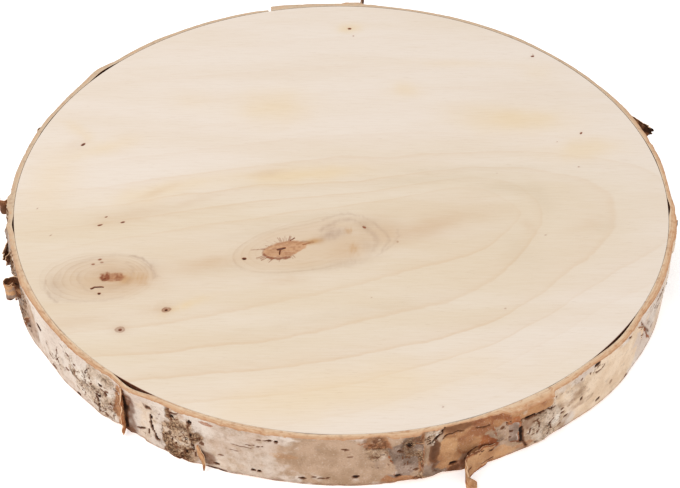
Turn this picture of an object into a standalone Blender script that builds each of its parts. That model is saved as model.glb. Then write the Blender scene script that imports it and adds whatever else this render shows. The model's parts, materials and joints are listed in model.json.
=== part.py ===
"""Birch wood slice: a flat round of pale birch, edged with a strip of real birch bark.

Metres, +Z up. The origin is the centre of the underside, so the slice lies on z = 0.
Angles are in degrees, anticlockwise from +X, and the front of the slice is at 270 degrees.
"""

import math
import random

import bmesh
import bpy

MM = 0.001

# Driving dimensions.
WOOD_DIAMETER = 0.300
THICKNESS = 0.027
GLUE_GAP = 0.0003
WOOD_SIDES = 180
WOOD_EDGE_BREAK = 0.0004

# The bark strip is wrapped once round the wood and its ends nearly meet at the back.
SEAM_THICK_END = 104.7
SEAM_THIN_END = 105.5
BARK_COLUMNS = 240
BARK_ROWS = 7
BARK_INNER_ROWS = 2
BARK_FOOT_FLARE = 1.1 * MM

WOOD_RADIUS = WOOD_DIAMETER / 2
BARK_INNER_RADIUS = WOOD_RADIUS + GLUE_GAP

# Thickness of the strip along its way round, in mm, at a few angles that count up
# from the thin end of the seam to the thick end.
BARK_THICKNESS = [
    (SEAM_THIN_END, 0.9), (108.5, 1.6), (125, 1.9), (140, 1.8), (146, 2.5), (156, 2.0),
    (185, 1.9), (198, 2.2), (206, 2.9), (214, 2.4), (228, 2.4), (237, 1.8), (246, 2.4),
    (262, 2.6), (285, 2.2), (297, 2.4), (310, 2.6), (320, 2.6), (330, 2.6), (342, 2.3),
    (365, 2.0), (405, 1.7), (440, 1.7), (452, 2.3), (458, 2.8), (360 + SEAM_THICK_END, 3.8),
]

# Where the strip has come away from the wood at the top edge, leaving a dark gap:
# middle angle, half width in degrees, gap in mm.
LOOSE_PLACES = [(144.5, 5.0, 1.2), (192, 3.0, 0.7), (237, 5.0, 1.8), (319, 8.0, 1.0), (353.7, 3.0, 0.8)]
LOOSE_DEPTH = 0.016

# The bark's face: no thinner than this, with slow waves over it. Each wave has its size in mm,
# its count round the slice, the height in mm that moves it on by one radian, and its phase.
THINNEST_BARK = 0.7 * MM
FACE_WAVES = [(0.22, 9, 7, 1), (0.18, 23, 5, 0)]

# The strip's lower edge: two waves round the slice (count, phase in degrees) whose crests lift
# it off the table, and one chip (angle, half width in degrees, height in mm).
FOOT_WAVES = [(13, 0), (31, 40)]
FOOT_WAVE_HEIGHT = 0.45
FOOT_WAVE_LEVEL = 0.6
FOOT_CHIP = (285, 3.5, 1.4)

# Plates of old bark that stand up, and places where a layer has torn away. Angle and half
# width in degrees, height and half height in mm, and how far the surface is raised in mm.
PLATES = [
    (186.0, 22.5, 2.2, 5.0, 1.3),
    (195.5, 20.0, 4.0, 6.5, 0.8),
    (214.0, 13.0, 5.0, 9.0, 0.4),
    (228.5, 14.5, 4.5, 10.0, 0.9),
    (237.8, 12.0, 1.7, 13.0, -0.8),
    (245.7, 13.0, 3.0, 14.0, 0.8),
    (264.0, 19.5, 6.0, 5.5, -0.5),
    (275.2, 19.0, 2.2, 8.0, -0.6),
    (279.6, 16.0, 2.6, 13.0, 1.5),
    (288.5, 14.0, 4.8, 14.0, -0.9),
    (299.0, 25.0, 4.2, 3.6, 2.6),
    (301.5, 10.0, 3.6, 9.5, 0.8),
    (315.0, 10.0, 10.0, 11.0, 0.4),
    (348.5, 23.0, 4.0, 4.5, 0.9),
    (87.8, 23.5, 2.4, 4.0, 1.6),
]
BACK_PLATES = 16
BACK_PLATES_START = 20
BACK_PLATES_SPAN = 150
BACK_SEED = 11
PLATE_EDGE = 0.28

# Peeling sheets. A sheet grows from the strip at its root angle and runs round the slice
# (way is 1 anticlockwise, -1 clockwise), leaving at lift degrees and turning through turn
# degrees by its tip, later the higher bend is. At the tip its foot stands out further than
# its head by lean. Heights and lengths are in mm, each as (at the root, at the tip).
PEEL_THICKNESS = 0.8 * MM
PEEL_ROOT_DEPTH = 1.3 * MM
PEELS = {
    "dark_knob": dict(root=184.0, way=1, length=9, lift=32, turn=215, bend=1.6, lean=0,
                      low=(17.5, 18), high=(26.6, 24), steps=10),
    "left_flake": dict(root=193.4, way=1, length=9, lift=16, turn=30, bend=1.5, lean=0,
                       low=(14, 16), high=(25, 21), steps=6),
    "left_low_flake": dict(root=198.6, way=1, length=9, lift=14, turn=25, bend=1.4, lean=0,
                           low=(3, 5), high=(14, 11), steps=5),
    "left_scroll": dict(root=206.0, way=-1, length=17, lift=18, turn=315, bend=1.7, lean=0,
                        low=(12, 19.5), high=(26.7, 26.6), steps=15),
    "left_edge": dict(root=234.0, way=1, length=8.5, lift=12, turn=52, bend=2.0, lean=1.5,
                      low=(0.5, 0.2), high=(26.8, 26.2), steps=6),
    "small_tongue": dict(root=247.8, way=1, length=7, lift=22, turn=20, bend=1.5, lean=1.5,
                         low=(8, 0.6), high=(15, 5), steps=5),
    "grey_ridge": dict(root=280.4, way=1, length=5, lift=10, turn=16, bend=1.6, lean=0,
                       low=(2.5, 1.5), high=(25, 23), steps=4),
    "front_curl": dict(root=295.4, way=-1, length=30, lift=10, turn=320, bend=6, lean=4.5,
                       low=(1.2, 0.2), high=(9.5, 12.5), steps=22),
    "grey_flap": dict(root=292.4, way=1, length=14, lift=7, turn=14, bend=1.5, lean=0,
                      low=(9.5, 7), high=(19, 20), steps=7),
    "torn_edge": dict(root=323.5, way=1, length=9, lift=4, turn=4, bend=2.0, lean=0,
                      low=(7, 3), high=(25.5, 18), steps=5),
    "right_flake": dict(root=347.6, way=1, length=16, lift=9, turn=8, bend=2.0, lean=0,
                        low=(9, 12), high=(24.5, 21), steps=7),
    "right_flag": dict(root=24.0, way=-1, length=24, lift=7, turn=68, bend=6, lean=0,
                       low=(8, 14), high=(26.2, 26.7), steps=12),
    "right_low_curl": dict(root=36, way=-1, length=17, lift=14, turn=200, bend=2.4, lean=0,
                           low=(1, 2.5), high=(13, 11), steps=12),
    "rear_scroll": dict(root=48, way=1, length=20, lift=13, turn=285, bend=2.6, lean=0,
                        low=(0.8, 2), high=(19, 17.5), steps=16),
    "rear_flake": dict(root=66, way=-1, length=12, lift=12, turn=26, bend=1.5, lean=0,
                       low=(5, 7), high=(20, 17), steps=6),
    "rear_tuft": dict(root=84.4, way=1, length=12, lift=20, turn=120, bend=1.4, lean=0,
                      low=(17, 19), high=(26.75, 26.75), steps=9),
    "rear_low_edge": dict(root=124, way=-1, length=14, lift=10, turn=60, bend=2.2, lean=1,
                          low=(0.8, 0.4), high=(15, 14), steps=8),
    "rear_left_curl": dict(root=158, way=1, length=19, lift=12, turn=240, bend=2.6, lean=0,
                           low=(1.5, 3), high=(17, 15), steps=14),
}
PEEL_HEIGHT_STEP = 4.0
PEEL_INSET = 0.25
TOP_TEAR = 0.8
FOOT_TEAR = 0.4


def clear_scene():
    """Remove what the scene holds before the model is built."""
    for thing in list(bpy.data.objects):
        bpy.data.objects.remove(thing, do_unlink=True)


def new_collection(name):
    """Make a collection in the scene."""
    collection = bpy.data.collections.new(name)
    bpy.context.scene.collection.children.link(collection)
    return collection


def new_material(name, colour, roughness):
    """Make a Principled material of one linear colour."""
    material = bpy.data.materials.new(name)
    material.use_nodes = True
    shader = material.node_tree.nodes["Principled BSDF"]
    shader.inputs["Base Color"].default_value = (*colour, 1)
    shader.inputs["Roughness"].default_value = roughness
    shader.inputs["Metallic"].default_value = 0
    return material


def new_object(name, mesh_builder, collection, material):
    """Turn a bmesh into a named object with its material."""
    bmesh.ops.recalc_face_normals(mesh_builder, faces=mesh_builder.faces)
    mesh = bpy.data.meshes.new(name)
    mesh_builder.to_mesh(mesh)
    mesh_builder.free()
    mesh.materials.append(material)
    mesh.shade_smooth()
    thing = bpy.data.objects.new(name, mesh)
    collection.objects.link(thing)
    return thing


def ease(value):
    """A smooth step from 0 to 1."""
    value = min(max(value, 0.0), 1.0)
    return value * value * (3 - 2 * value)


def interpolate(points, at):
    """Read a list of (place, value) pairs, rising in place, with smooth steps between them."""
    for (start, start_value), (end, end_value) in zip(points, points[1:]):
        if at <= end:
            return start_value + (end_value - start_value) * ease((at - start) / (end - start))
    return points[-1][1]


def around(angle, middle):
    """The signed way from one angle to another, within half a turn."""
    return (angle - middle + 180) % 360 - 180


def back_plates():
    """Plates for the back, which the front view does not show, from seeded draws."""
    draw = random.Random(BACK_SEED)
    step = BACK_PLATES_SPAN / BACK_PLATES
    plates = []
    for number in range(BACK_PLATES):
        angle = BACK_PLATES_START + step * number + draw.uniform(-3, 3)
        height = draw.uniform(4, 16)
        half_width = draw.uniform(2.2, 5.0)
        half_height = draw.uniform(4, 8)
        rise = draw.choice([-0.5, 0.5, 0.8, 1.1])
        plates.append((angle, height, half_width, half_height, rise))
    return plates


ALL_PLATES = PLATES + back_plates()


def surface_rise(angle, height):
    """How far the bark's face stands off its mean surface, in metres."""
    total = 0
    for size, count, climb, phase in FACE_WAVES:
        total += size * math.sin(math.radians(angle * count) + height / (climb * MM) + phase)
    for plate_angle, plate_height, half_width, half_height, rise in ALL_PLATES:
        across = around(angle, plate_angle) / half_width
        up = (height / MM - plate_height) / half_height
        reach = (across ** 4 + up ** 4) ** 0.25
        total += rise * ease((1 - reach) / PLATE_EDGE + 0.5)
    return total * MM


def loose_gap(angle, height):
    """How far the strip has come away from the wood, most at the top edge."""
    gap = 0
    for middle, half_width, width in LOOSE_PLACES:
        gap += width * MM * ease(1 - abs(around(angle, middle)) / half_width)
    return gap * ease(1 - (THICKNESS - height) / LOOSE_DEPTH)


def bark_thickness(angle):
    """Thickness of the strip at an angle, in metres."""
    counted = angle if angle >= SEAM_THIN_END else angle + 360
    return interpolate(BARK_THICKNESS, counted) * MM


def foot_height(angle):
    """The lower edge of the strip, a little ragged, never under the wood."""
    wave = sum(math.sin(math.radians(angle * count + phase)) for count, phase in FOOT_WAVES)
    chip_angle, chip_half_width, chip_height = FOOT_CHIP
    chip = chip_height * ease(1 - abs(around(angle, chip_angle)) / chip_half_width)
    return (max(0.0, FOOT_WAVE_HEIGHT * (wave - FOOT_WAVE_LEVEL)) + chip) * MM


def inner_radius(angle, height):
    """Radius of the strip's glued face."""
    return BARK_INNER_RADIUS + loose_gap(angle, height)


def outer_radius(angle, height):
    """Radius of the strip's bark face, which spreads a little towards the foot."""
    thickness = bark_thickness(angle)
    flare = BARK_FOOT_FLARE * (1 - height / THICKNESS)
    relief = surface_rise(angle, height) * ease(thickness / MM - 1)
    return inner_radius(angle, height) + max(THINNEST_BARK, thickness + flare + relief)


def on_circle(angle, radius, height):
    """A point at an angle in degrees."""
    turned = math.radians(angle)
    return (radius * math.cos(turned), radius * math.sin(turned), height)


def make_wood(collection):
    """The round of birch: a plain disc, sawn flat on both faces."""
    disc = bmesh.new()
    bmesh.ops.create_cone(disc, cap_ends=True, segments=WOOD_SIDES, radius1=WOOD_RADIUS,
                          radius2=WOOD_RADIUS, depth=THICKNESS)
    bmesh.ops.translate(disc, vec=(0, 0, THICKNESS / 2), verts=disc.verts)
    wood = new_object("wood_disc", disc, collection, new_material("sawn_birch", (0.83, 0.71, 0.57), 0.6))
    edge = wood.modifiers.new("broken_edges", "BEVEL")
    edge.width = WOOD_EDGE_BREAK
    edge.segments = 1
    edge.limit_method = "ANGLE"
    edge.angle_limit = math.radians(40)
    return wood


def bark_section(mesh_builder, angle):
    """One cross-section of the strip: up its glued face, then down its bark face."""
    foot = foot_height(angle)
    points = []
    for row in range(BARK_INNER_ROWS + 1):
        height = foot + (THICKNESS - foot) * row / BARK_INNER_ROWS
        points.append(on_circle(angle, inner_radius(angle, height), height))
    for row in range(BARK_ROWS, -1, -1):
        height = foot + (THICKNESS - foot) * row / BARK_ROWS
        points.append(on_circle(angle, outer_radius(angle, height), height))
    return [mesh_builder.verts.new(point) for point in points]


def make_strip(collection, material):
    """The bark strip: a loft through sections whose thickness and face change on the way."""
    strip = bmesh.new()
    start = SEAM_THIN_END
    end = 360 + SEAM_THICK_END
    sections = []
    for column in range(BARK_COLUMNS + 1):
        angle = start + (end - start) * column / BARK_COLUMNS
        sections.append(bark_section(strip, angle % 360))
    for before, after in zip(sections, sections[1:]):
        for one in range(len(before)):
            two = (one + 1) % len(before)
            strip.faces.new((before[one], before[two], after[two], after[one]))
    for end_section in (sections[0], sections[-1]):
        middle = end_section[1]
        for one in range(2, len(end_section)):
            two = (one + 1) % len(end_section)
            strip.faces.new((middle, end_section[one], end_section[two]))
    bmesh.ops.triangulate(strip, faces=strip.faces)
    return new_object("bark_band", strip, collection, material)


def peel_path(peel, steps):
    """Points of a peeling sheet seen from above, from its root to its tip."""
    root = math.radians(peel["root"])
    outward = (math.cos(root), math.sin(root))
    along = (-outward[1] * peel["way"], outward[0] * peel["way"])
    mid_height = (peel["low"][0] + peel["high"][0]) / 2 * MM
    radius = outer_radius(peel["root"], mid_height) - PEEL_ROOT_DEPTH
    x = outward[0] * radius
    y = outward[1] * radius
    points = [(x, y)]
    stride = peel["length"] * MM / steps
    for step in range(steps):
        heading = math.radians(peel["lift"] + peel["turn"] * ((step + 0.5) / steps) ** peel["bend"])
        x += stride * (along[0] * math.cos(heading) + outward[0] * math.sin(heading))
        y += stride * (along[1] * math.cos(heading) + outward[1] * math.sin(heading))
        points.append((x, y))
    return points


def make_peel(name, peel, draw, collection, material):
    """One sheet of bark torn loose: an open surface on its path, given its thickness."""
    path = peel_path(peel, peel["steps"])
    rows = max(2, round((peel["high"][0] - peel["low"][0]) / PEEL_HEIGHT_STEP))
    sheet = bmesh.new()
    bmesh.ops.create_grid(sheet, x_segments=peel["steps"], y_segments=rows, size=0.5)
    foot_tear = [draw.uniform(-FOOT_TEAR, FOOT_TEAR) for point in path]
    top_tear = [draw.uniform(-TOP_TEAR, TOP_TEAR) for point in path]
    for vert in sheet.verts:
        step = round((vert.co.x + 0.5) * peel["steps"])
        up = vert.co.y + 0.5
        share = step / peel["steps"]
        low = peel["low"][0] + (peel["low"][1] - peel["low"][0]) * share + foot_tear[step]
        high = peel["high"][0] + (peel["high"][1] - peel["high"][0]) * share + top_tear[step]
        height = min(max(low + (high - low) * up, PEEL_INSET), THICKNESS / MM - PEEL_INSET)
        lean = 1 + peel["lean"] * MM * share * (0.5 - up) / WOOD_RADIUS
        vert.co = (path[step][0] * lean, path[step][1] * lean, height * MM)
    bmesh.ops.triangulate(sheet, faces=sheet.faces)
    thing = new_object(name, sheet, collection, material)
    wall = thing.modifiers.new("thickness", "SOLIDIFY")
    wall.thickness = PEEL_THICKNESS
    wall.offset = 0
    wall.use_even_offset = True
    return thing


def join_peels(strip, peels):
    """Join the sheets to the strip as one body, and drop the loose copies."""
    join = strip.modifiers.new("join_peels", "BOOLEAN")
    join.operation = "UNION"
    join.operand_type = "COLLECTION"
    join.collection = peels
    join.solver = "EXACT"
    graph = bpy.context.evaluated_depsgraph_get()
    joined = bpy.data.meshes.new_from_object(strip.evaluated_get(graph))
    strip.modifiers.clear()
    strip.data = joined
    for thing in list(peels.objects):
        bpy.data.objects.remove(thing, do_unlink=True)
    bpy.data.collections.remove(peels)


def make_bark(parts):
    """The bark strip with every sheet that peels from it, in one body."""
    material = new_material("birch_bark", (0.66, 0.50, 0.38), 0.75)
    strip = make_strip(parts, material)
    peels = new_collection("bark_peels")
    draw = random.Random(BACK_SEED)
    for name, peel in PEELS.items():
        make_peel(name, peel, draw, peels, material)
    join_peels(strip, peels)
    strip.data.shade_smooth()
    strip.data.set_sharp_from_angle(angle=math.radians(35))
    return strip


clear_scene()
slice_parts = new_collection("birch_wood_slice")
make_wood(slice_parts)
make_bark(slice_parts)
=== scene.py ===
"""Birch wood slice, dressed: a round of pale birch edged with a strip of real birch bark.

Metres, +Z up, origin at the centre of the underside. Angles are degrees anticlockwise from +X, and the
front of the slice is at 270 degrees. Lists of marks on the wood and the bark give their places in mm.
"""
import json
import math
import random

import bmesh
import bpy
import numpy as np
from mathutils import Matrix, Vector

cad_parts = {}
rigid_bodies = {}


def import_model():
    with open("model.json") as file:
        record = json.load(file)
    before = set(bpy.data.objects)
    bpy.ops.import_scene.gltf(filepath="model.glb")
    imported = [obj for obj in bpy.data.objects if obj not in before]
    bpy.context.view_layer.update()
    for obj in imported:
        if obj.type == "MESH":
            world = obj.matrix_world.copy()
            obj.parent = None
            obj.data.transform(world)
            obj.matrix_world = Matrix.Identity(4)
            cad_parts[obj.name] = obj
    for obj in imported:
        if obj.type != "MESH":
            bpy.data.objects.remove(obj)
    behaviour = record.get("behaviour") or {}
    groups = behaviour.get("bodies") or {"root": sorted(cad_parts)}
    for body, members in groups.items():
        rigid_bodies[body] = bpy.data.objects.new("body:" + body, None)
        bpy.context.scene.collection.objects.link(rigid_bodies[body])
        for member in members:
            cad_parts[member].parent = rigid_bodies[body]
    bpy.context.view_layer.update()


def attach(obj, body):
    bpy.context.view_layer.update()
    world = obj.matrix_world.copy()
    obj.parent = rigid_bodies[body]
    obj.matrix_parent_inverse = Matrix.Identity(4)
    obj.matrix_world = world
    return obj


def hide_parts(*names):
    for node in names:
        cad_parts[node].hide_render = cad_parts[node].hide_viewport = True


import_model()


# Camera, floor and light
# The camera stands before the slice and looks down on it through a short telephoto lens. The floor
# is white paper and the light comes from all round, a little stronger from the upper left.
MM = 0.001
LENS = 69.9
SENSOR = 36
CAMERA_HEIGHT_ANGLE = math.radians(42.63)
CAMERA_ROLL = math.radians(0.32)
CAMERA_DISTANCE = 0.6227
CAMERA_AIM = Vector((-0.0005, -0.0134, 0))
FLOOR_SIZE = 12
FLOOR_DROP = 0.0004
FLOOR_COLOUR = "FFFFFF"
FLOOR_GLOW = 0.42
DOME_COLOUR = "FFFFFF"
DOME_STRENGTH = 0.74
SEEN_STRENGTH = 1
KEY_POWER = 7.5
KEY_SIZE = 0.9
KEY_PLACE = Vector((-0.75, -0.35, 1.35))


def linear(code):
    """An sRGB hex colour as linear red, green and blue, with alpha."""
    parts = [int(code[place:place + 2], 16) / 255 for place in (0, 2, 4)]
    return (*[part / 12.92 if part <= 0.04045 else ((part + 0.055) / 1.055) ** 2.4 for part in parts], 1)


def add(tree, kind, settings=None, inputs=None):
    """Add a node with its settings; an input is a value, or the socket that feeds it."""
    node = tree.nodes.new(kind)
    for name, value in (settings or {}).items():
        setattr(node, name, value)
    for socket, value in (inputs or {}).items():
        if isinstance(value, bpy.types.NodeSocket):
            tree.links.new(value, node.inputs[socket])
        else:
            node.inputs[socket].default_value = value
    return node


def new_material(name, roughness):
    """A Principled material and its tree."""
    material = bpy.data.materials.new(name)
    material.use_nodes = True
    shader = material.node_tree.nodes["Principled BSDF"]
    shader.inputs["Roughness"].default_value = roughness
    shader.inputs["Specular IOR Level"].default_value = 0.12
    return material, material.node_tree, shader


def new_piece(name, mesh):
    """An object at the origin that holds a finished mesh."""
    piece = bpy.data.objects.new(name, mesh)
    bpy.context.scene.collection.objects.link(piece)
    return piece


camera_data = bpy.data.cameras.new("camera")
camera_data.lens = LENS
camera_data.sensor_width = SENSOR
camera = new_piece("camera", camera_data)
camera_back = Vector((0, -math.cos(CAMERA_HEIGHT_ANGLE), math.sin(CAMERA_HEIGHT_ANGLE)))
camera.matrix_world = (
    Matrix.Translation(CAMERA_AIM + camera_back * CAMERA_DISTANCE)
    @ Matrix.Rotation(math.pi / 2 - CAMERA_HEIGHT_ANGLE, 4, "X")
    @ Matrix.Rotation(CAMERA_ROLL, 4, "Z")
)
bpy.context.scene.camera = camera
bpy.context.scene.view_settings.view_transform = "Standard"

floor_grid = bmesh.new()
bmesh.ops.create_grid(floor_grid, x_segments=1, y_segments=1, size=FLOOR_SIZE / 2,
                      matrix=Matrix.Translation((0, 0, -FLOOR_DROP)))
floor_mesh = bpy.data.meshes.new("floor")
floor_grid.to_mesh(floor_mesh)
floor_grid.free()
floor = new_piece("floor", floor_mesh)
floor_paint, floor_tree, floor_shader = new_material("floor_white_paper", 0.9)
floor_shader.inputs["Base Color"].default_value = linear(FLOOR_COLOUR)
floor_shader.inputs["Emission Color"].default_value = linear(FLOOR_COLOUR)
floor_shader.inputs["Emission Strength"].default_value = FLOOR_GLOW
floor_mesh.materials.append(floor_paint)

dome = bpy.data.worlds.new("studio")
dome.use_nodes = True
dome.node_tree.nodes["Background"].inputs["Color"].default_value = linear(DOME_COLOUR)
seen = add(dome.node_tree, "ShaderNodeLightPath").outputs["Is Camera Ray"]
strength = add(dome.node_tree, "ShaderNodeMath", {"operation": "MULTIPLY_ADD"}, {
    0: seen, 1: SEEN_STRENGTH - DOME_STRENGTH, 2: DOME_STRENGTH}).outputs[0]
dome.node_tree.links.new(strength, dome.node_tree.nodes["Background"].inputs["Strength"])
bpy.context.scene.world = dome
key_data = bpy.data.lights.new("key", "AREA")
key_data.energy = KEY_POWER
key_data.size = KEY_SIZE
key = new_piece("key", key_data)
key.location = KEY_PLACE
key.rotation_euler = KEY_PLACE.to_track_quat("Z", "Y").to_euler()


# The wood
# A round of flat-sawn birch, 300 mm across and 27 mm thick, sanded and left bare. The growth rings
# show as long nested ovals round the line of knots, with a few pin knots and bark specks.
WOOD_RADIUS = 150.0
THICKNESS = 27.0
WOOD_CELLS = 150
KNOT_CUTS = 4
EDGE_BREAK = 0.2

# Growth rings, counted outward from the tree's heart, and places that each one passes: x, y.
RINGS = [
    (0, [(-140, -70), (-97, -62), (-60, -55), (-26, -46), (5, -34), (35, -27), (58, -22)]),
    (1, [(-130, -48), (-100, -39), (-60, -29), (-20, -20), (10, -14), (30, -9), (50, -3), (62, -2), (70, -6),
         (78, -14), (83, -22), (76, -33), (66, -44), (50, -53), (30, -60), (10, -68), (-10, -75),
         (-30, -80), (-55, -88), (-80, -94), (-110, -98)]),
    (2, [(-110, -112), (-77, -110), (-33, -104), (0, -94), (27, -85), (47, -79), (60, -70), (73, -57),
         (82, -44), (88, -34), (91, -20), (87, -8), (80, 0), (66, 4), (50, 2), (30, -2), (10, -7), (-20, -11),
         (-60, -18), (-100, -27), (-140, -36)]),
    (3, [(-77, -123), (-37, -119), (7, -110), (40, -101), (67, -89), (87, -73), (107, -54), (120, -38),
         (126, -22), (122, -4), (110, 6), (90, 11), (70, 12), (50, 10), (30, 6), (8, 1), (-20, -2), (-60, -8),
         (-100, -16), (-140, -22)]),
    (4, [(-47, -134), (-13, -129), (20, -120), (48, -109), (75, -94), (97, -77), (118, -60), (140, -45),
         (140, 14), (110, 20), (80, 24), (40, 23), (4, 21), (-20, 16), (-60, 8), (-100, -2), (-140, -8)]),
    (5, [(10, -138), (40, -125), (72, -110), (98, -92), (122, -74), (140, 34), (80, 38), (0, 36), (-50, 28),
         (-100, 18), (-140, 8)]),
    (6, [(50, -138), (80, -120), (110, -96), (130, 50), (80, 55), (0, 52), (-60, 44), (-120, 32)]),
    (7, [(90, -130), (120, -108), (120, 72), (60, 76), (0, 72), (-60, 64), (-120, 54)]),
    (8, [(100, 97), (40, 97), (-20, 93), (-90, 82)]),
    (9, [(60, 122), (0, 120), (-60, 112)]),
]

# Knots: x, y, half length, half width, tilt in degrees. The lines round each knot are ovals that
# drift from its heart (x, y) to its outermost oval, one line every spacing of the way.
MAIN_KNOT = (-24.5, -46.0, 10.8, 5.3, 20)
MAIN_HEART = (-24.5, -46.0)
MAIN_OVAL = (-11.5, -42.5, 38.0, 16.5, 18)
MAIN_SPACING = 0.14
LEFT_HEART = (-98.0, -64.0)
LEFT_OVAL = (-103.5, -65.0, 23.5, 15.0, 0)
LEFT_SPACING = 0.11

# Where the mesh is finer: x, y, half length, half width. Each small mark has a window of its own.
FINE_WINDOWS = [(-11, -43, 38, 22), (-103, -65, 26, 17)]
PIN_KNOT_WINDOW = (6, 5)
SPECK_WINDOW = (3.4, 3)

# Pin knots and specks: x, y, half length, half width, tilt in degrees, darkness.
PIN_KNOTS = [(-73, -84, 2.1, 1.7, 15, 1.0), (-91, -95.5, 2.2, 1.7, 5, 0.7)]
SPECKS = [
    (-42.3, -52.4, 1.25, 0.85, 0, 1.0), (-124, 27, 1.6, 0.9, 60, 0.8), (-106, -25.5, 1.0, 0.5, 15, 0.6),
    (-98, -29, 1.4, 0.7, 20, 0.7), (-108, -31, 1.6, 0.7, 20, 0.7), (-105, -53.5, 1.2, 0.8, 20, 0.45),
    (-107.5, -56.5, 1.2, 0.8, 10, 0.4), (-104, -55.3, 1.1, 0.7, 0, 0.35),
    (-102.5, -74.5, 0.85, 0.8, 0, 1.0), (4, 128, 1.2, 1.0, 0, 0.7), (6, 121, 0.7, 0.6, 0, 0.4),
    (99.5, 103, 1.1, 0.8, 0, 0.7), (116.5, 38, 1.3, 0.6, 60, 0.6), (112, 12, 0.7, 0.4, 0, 0.4),
    (104, 31, 0.7, 0.4, 20, 0.3), (73, 7, 0.6, 0.4, 0, 0.2), (69, -82, 0.7, 0.5, 0, 0.3),
    (13, -76, 0.6, 0.4, 0, 0.3), (40, -136, 0.7, 0.5, 0, 0.4), (91, -36, 0.8, 0.4, 20, 0.3),
    (-129, -38, 1.0, 0.4, 50, 0.3), (-138, -20, 0.8, 0.4, 60, 0.3), (10.3, -31.5, 1.3, 0.8, 140, 0.5),
    (25, -41, 0.7, 0.9, 0, 0.25),
]

# Lines that curl round the knots: half width, strength, then places: x, y.
KNOT_LINES = [
    (2.0, 0.75, [(-9, -34), (-5, -30), (0, -26.5), (5, -26.5), (9, -29), (12, -33), (15, -37.5), (16, -42),
                (14, -47)]),
    (1.1, 0.6, [(-8, -27), (-3, -23.5), (3, -22.5), (9, -24), (14, -28), (19, -34), (21.5, -40), (18, -47)]),
    (0.8, 0.45, [(25, -33), (25.5, -38), (22, -44), (16, -50)]),
    (2.0, 0.7, [(-8, -39), (-4, -37), (-1, -34)]),
    (1.7, 0.6, [(-7, -34), (-3, -32)]),
    (0.7, 0.5, [(10.3, -31), (11.5, -32.5)]),
    (1.4, 0.35, [(-12, -59), (-4, -58), (3, -55.5), (9, -52)]),
    (0.8, 0.28, [(-47, -53), (-45.5, -57), (-40, -60.8), (-30, -61.4), (-20, -60.6), (-11, -59.2)]),
    (0.8, 0.2, [(-47, -50), (-44, -44), (-38, -38.5), (-30, -34.5), (-20, -31), (-10, -28)]),
    (1.1, 0.9, [(-92.5, -51), (-87.5, -52.5), (-83.5, -56), (-81, -60.5), (-80, -65)]),
    (1.0, 0.5, [(-93, -55), (-90, -59), (-90, -65), (-92.5, -69.5), (-97, -72)]),
    (1.0, 0.8, [(-126.5, -67), (-125.5, -72), (-123, -76.5), (-119.5, -79.8)]),
    (1.0, 0.4, [(-124, -64), (-123.3, -70), (-121, -75), (-117.5, -78.5), (-110, -79.5), (-100, -78.5),
                (-92, -76.5)]),
    (0.8, 0.5, [(-121, -62), (-120.5, -68), (-118.5, -73.5)]),
    (1.3, 0.3, [(-118, -60), (-113, -55.5), (-106, -52), (-98, -50.5), (-92.5, -51)]),
    (1.1, 0.35, [(-113, -62), (-112, -68), (-108, -73), (-101, -75.5)]),
    (0.7, 0.3, [(-108, -58), (-103, -55.5), (-97, -54.5)]),
]

# Checks and cracks in the knots, in the same form, and the dark parts of the main knot's rim.
KNOT_CRACKS = [
    (0.5, 0.85, [(-27.7, -46.2), (-26.4, -45.8), (-24.9, -45.2)]),
    (0.24, 0.8, [(-26.6, -46.6), (-27.0, -49.4)]), (0.28, 0.65, [(-22.6, -40.6), (-20.8, -38.8)]),
    (0.36, 0.85, [(-106.2, -71.6), (-104.6, -70.4), (-101.4, -70.6)]),
    (0.3, 0.7, [(-102.2, -66.4), (-101, -65)]), (0.3, 0.4, [(-17, -43.2), (-13.8, -42.2)]),
]
KNOT_RIM = [
    (0.7, 0.9, [(-34, -50), (-31.5, -51.8), (-27, -52.4), (-22.5, -51.4)]),
    (0.6, 0.4, [(-19.5, -42.6), (-16, -41.2), (-12.8, -41.6)]),
    (0.5, 0.45, [(-29, -43.4), (-24, -41.6), (-20, -41.2)]),
    (0.45, 0.4, [(-34.6, -49), (-33.6, -46.4), (-30.4, -44)]),
]

# Short hair cracks that stand out from the main knot's rim like lashes.
LASHES = 34

# The left knot's rusty cores, and the oval of brown wood that they lie in, in the stains' form.
LEFT_CORES = [
    (-100.8, -64.4, 3.2, 2.6, 25, 1.5), (-95.4, -64.6, 3.0, 2.4, -10, 0.95),
    (-98.2, -63.2, 3.4, 1.5, 0, 0.7),
]
LEFT_BRIDGE = (-98, -64.4, 6.8, 3.0, 0)

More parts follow.
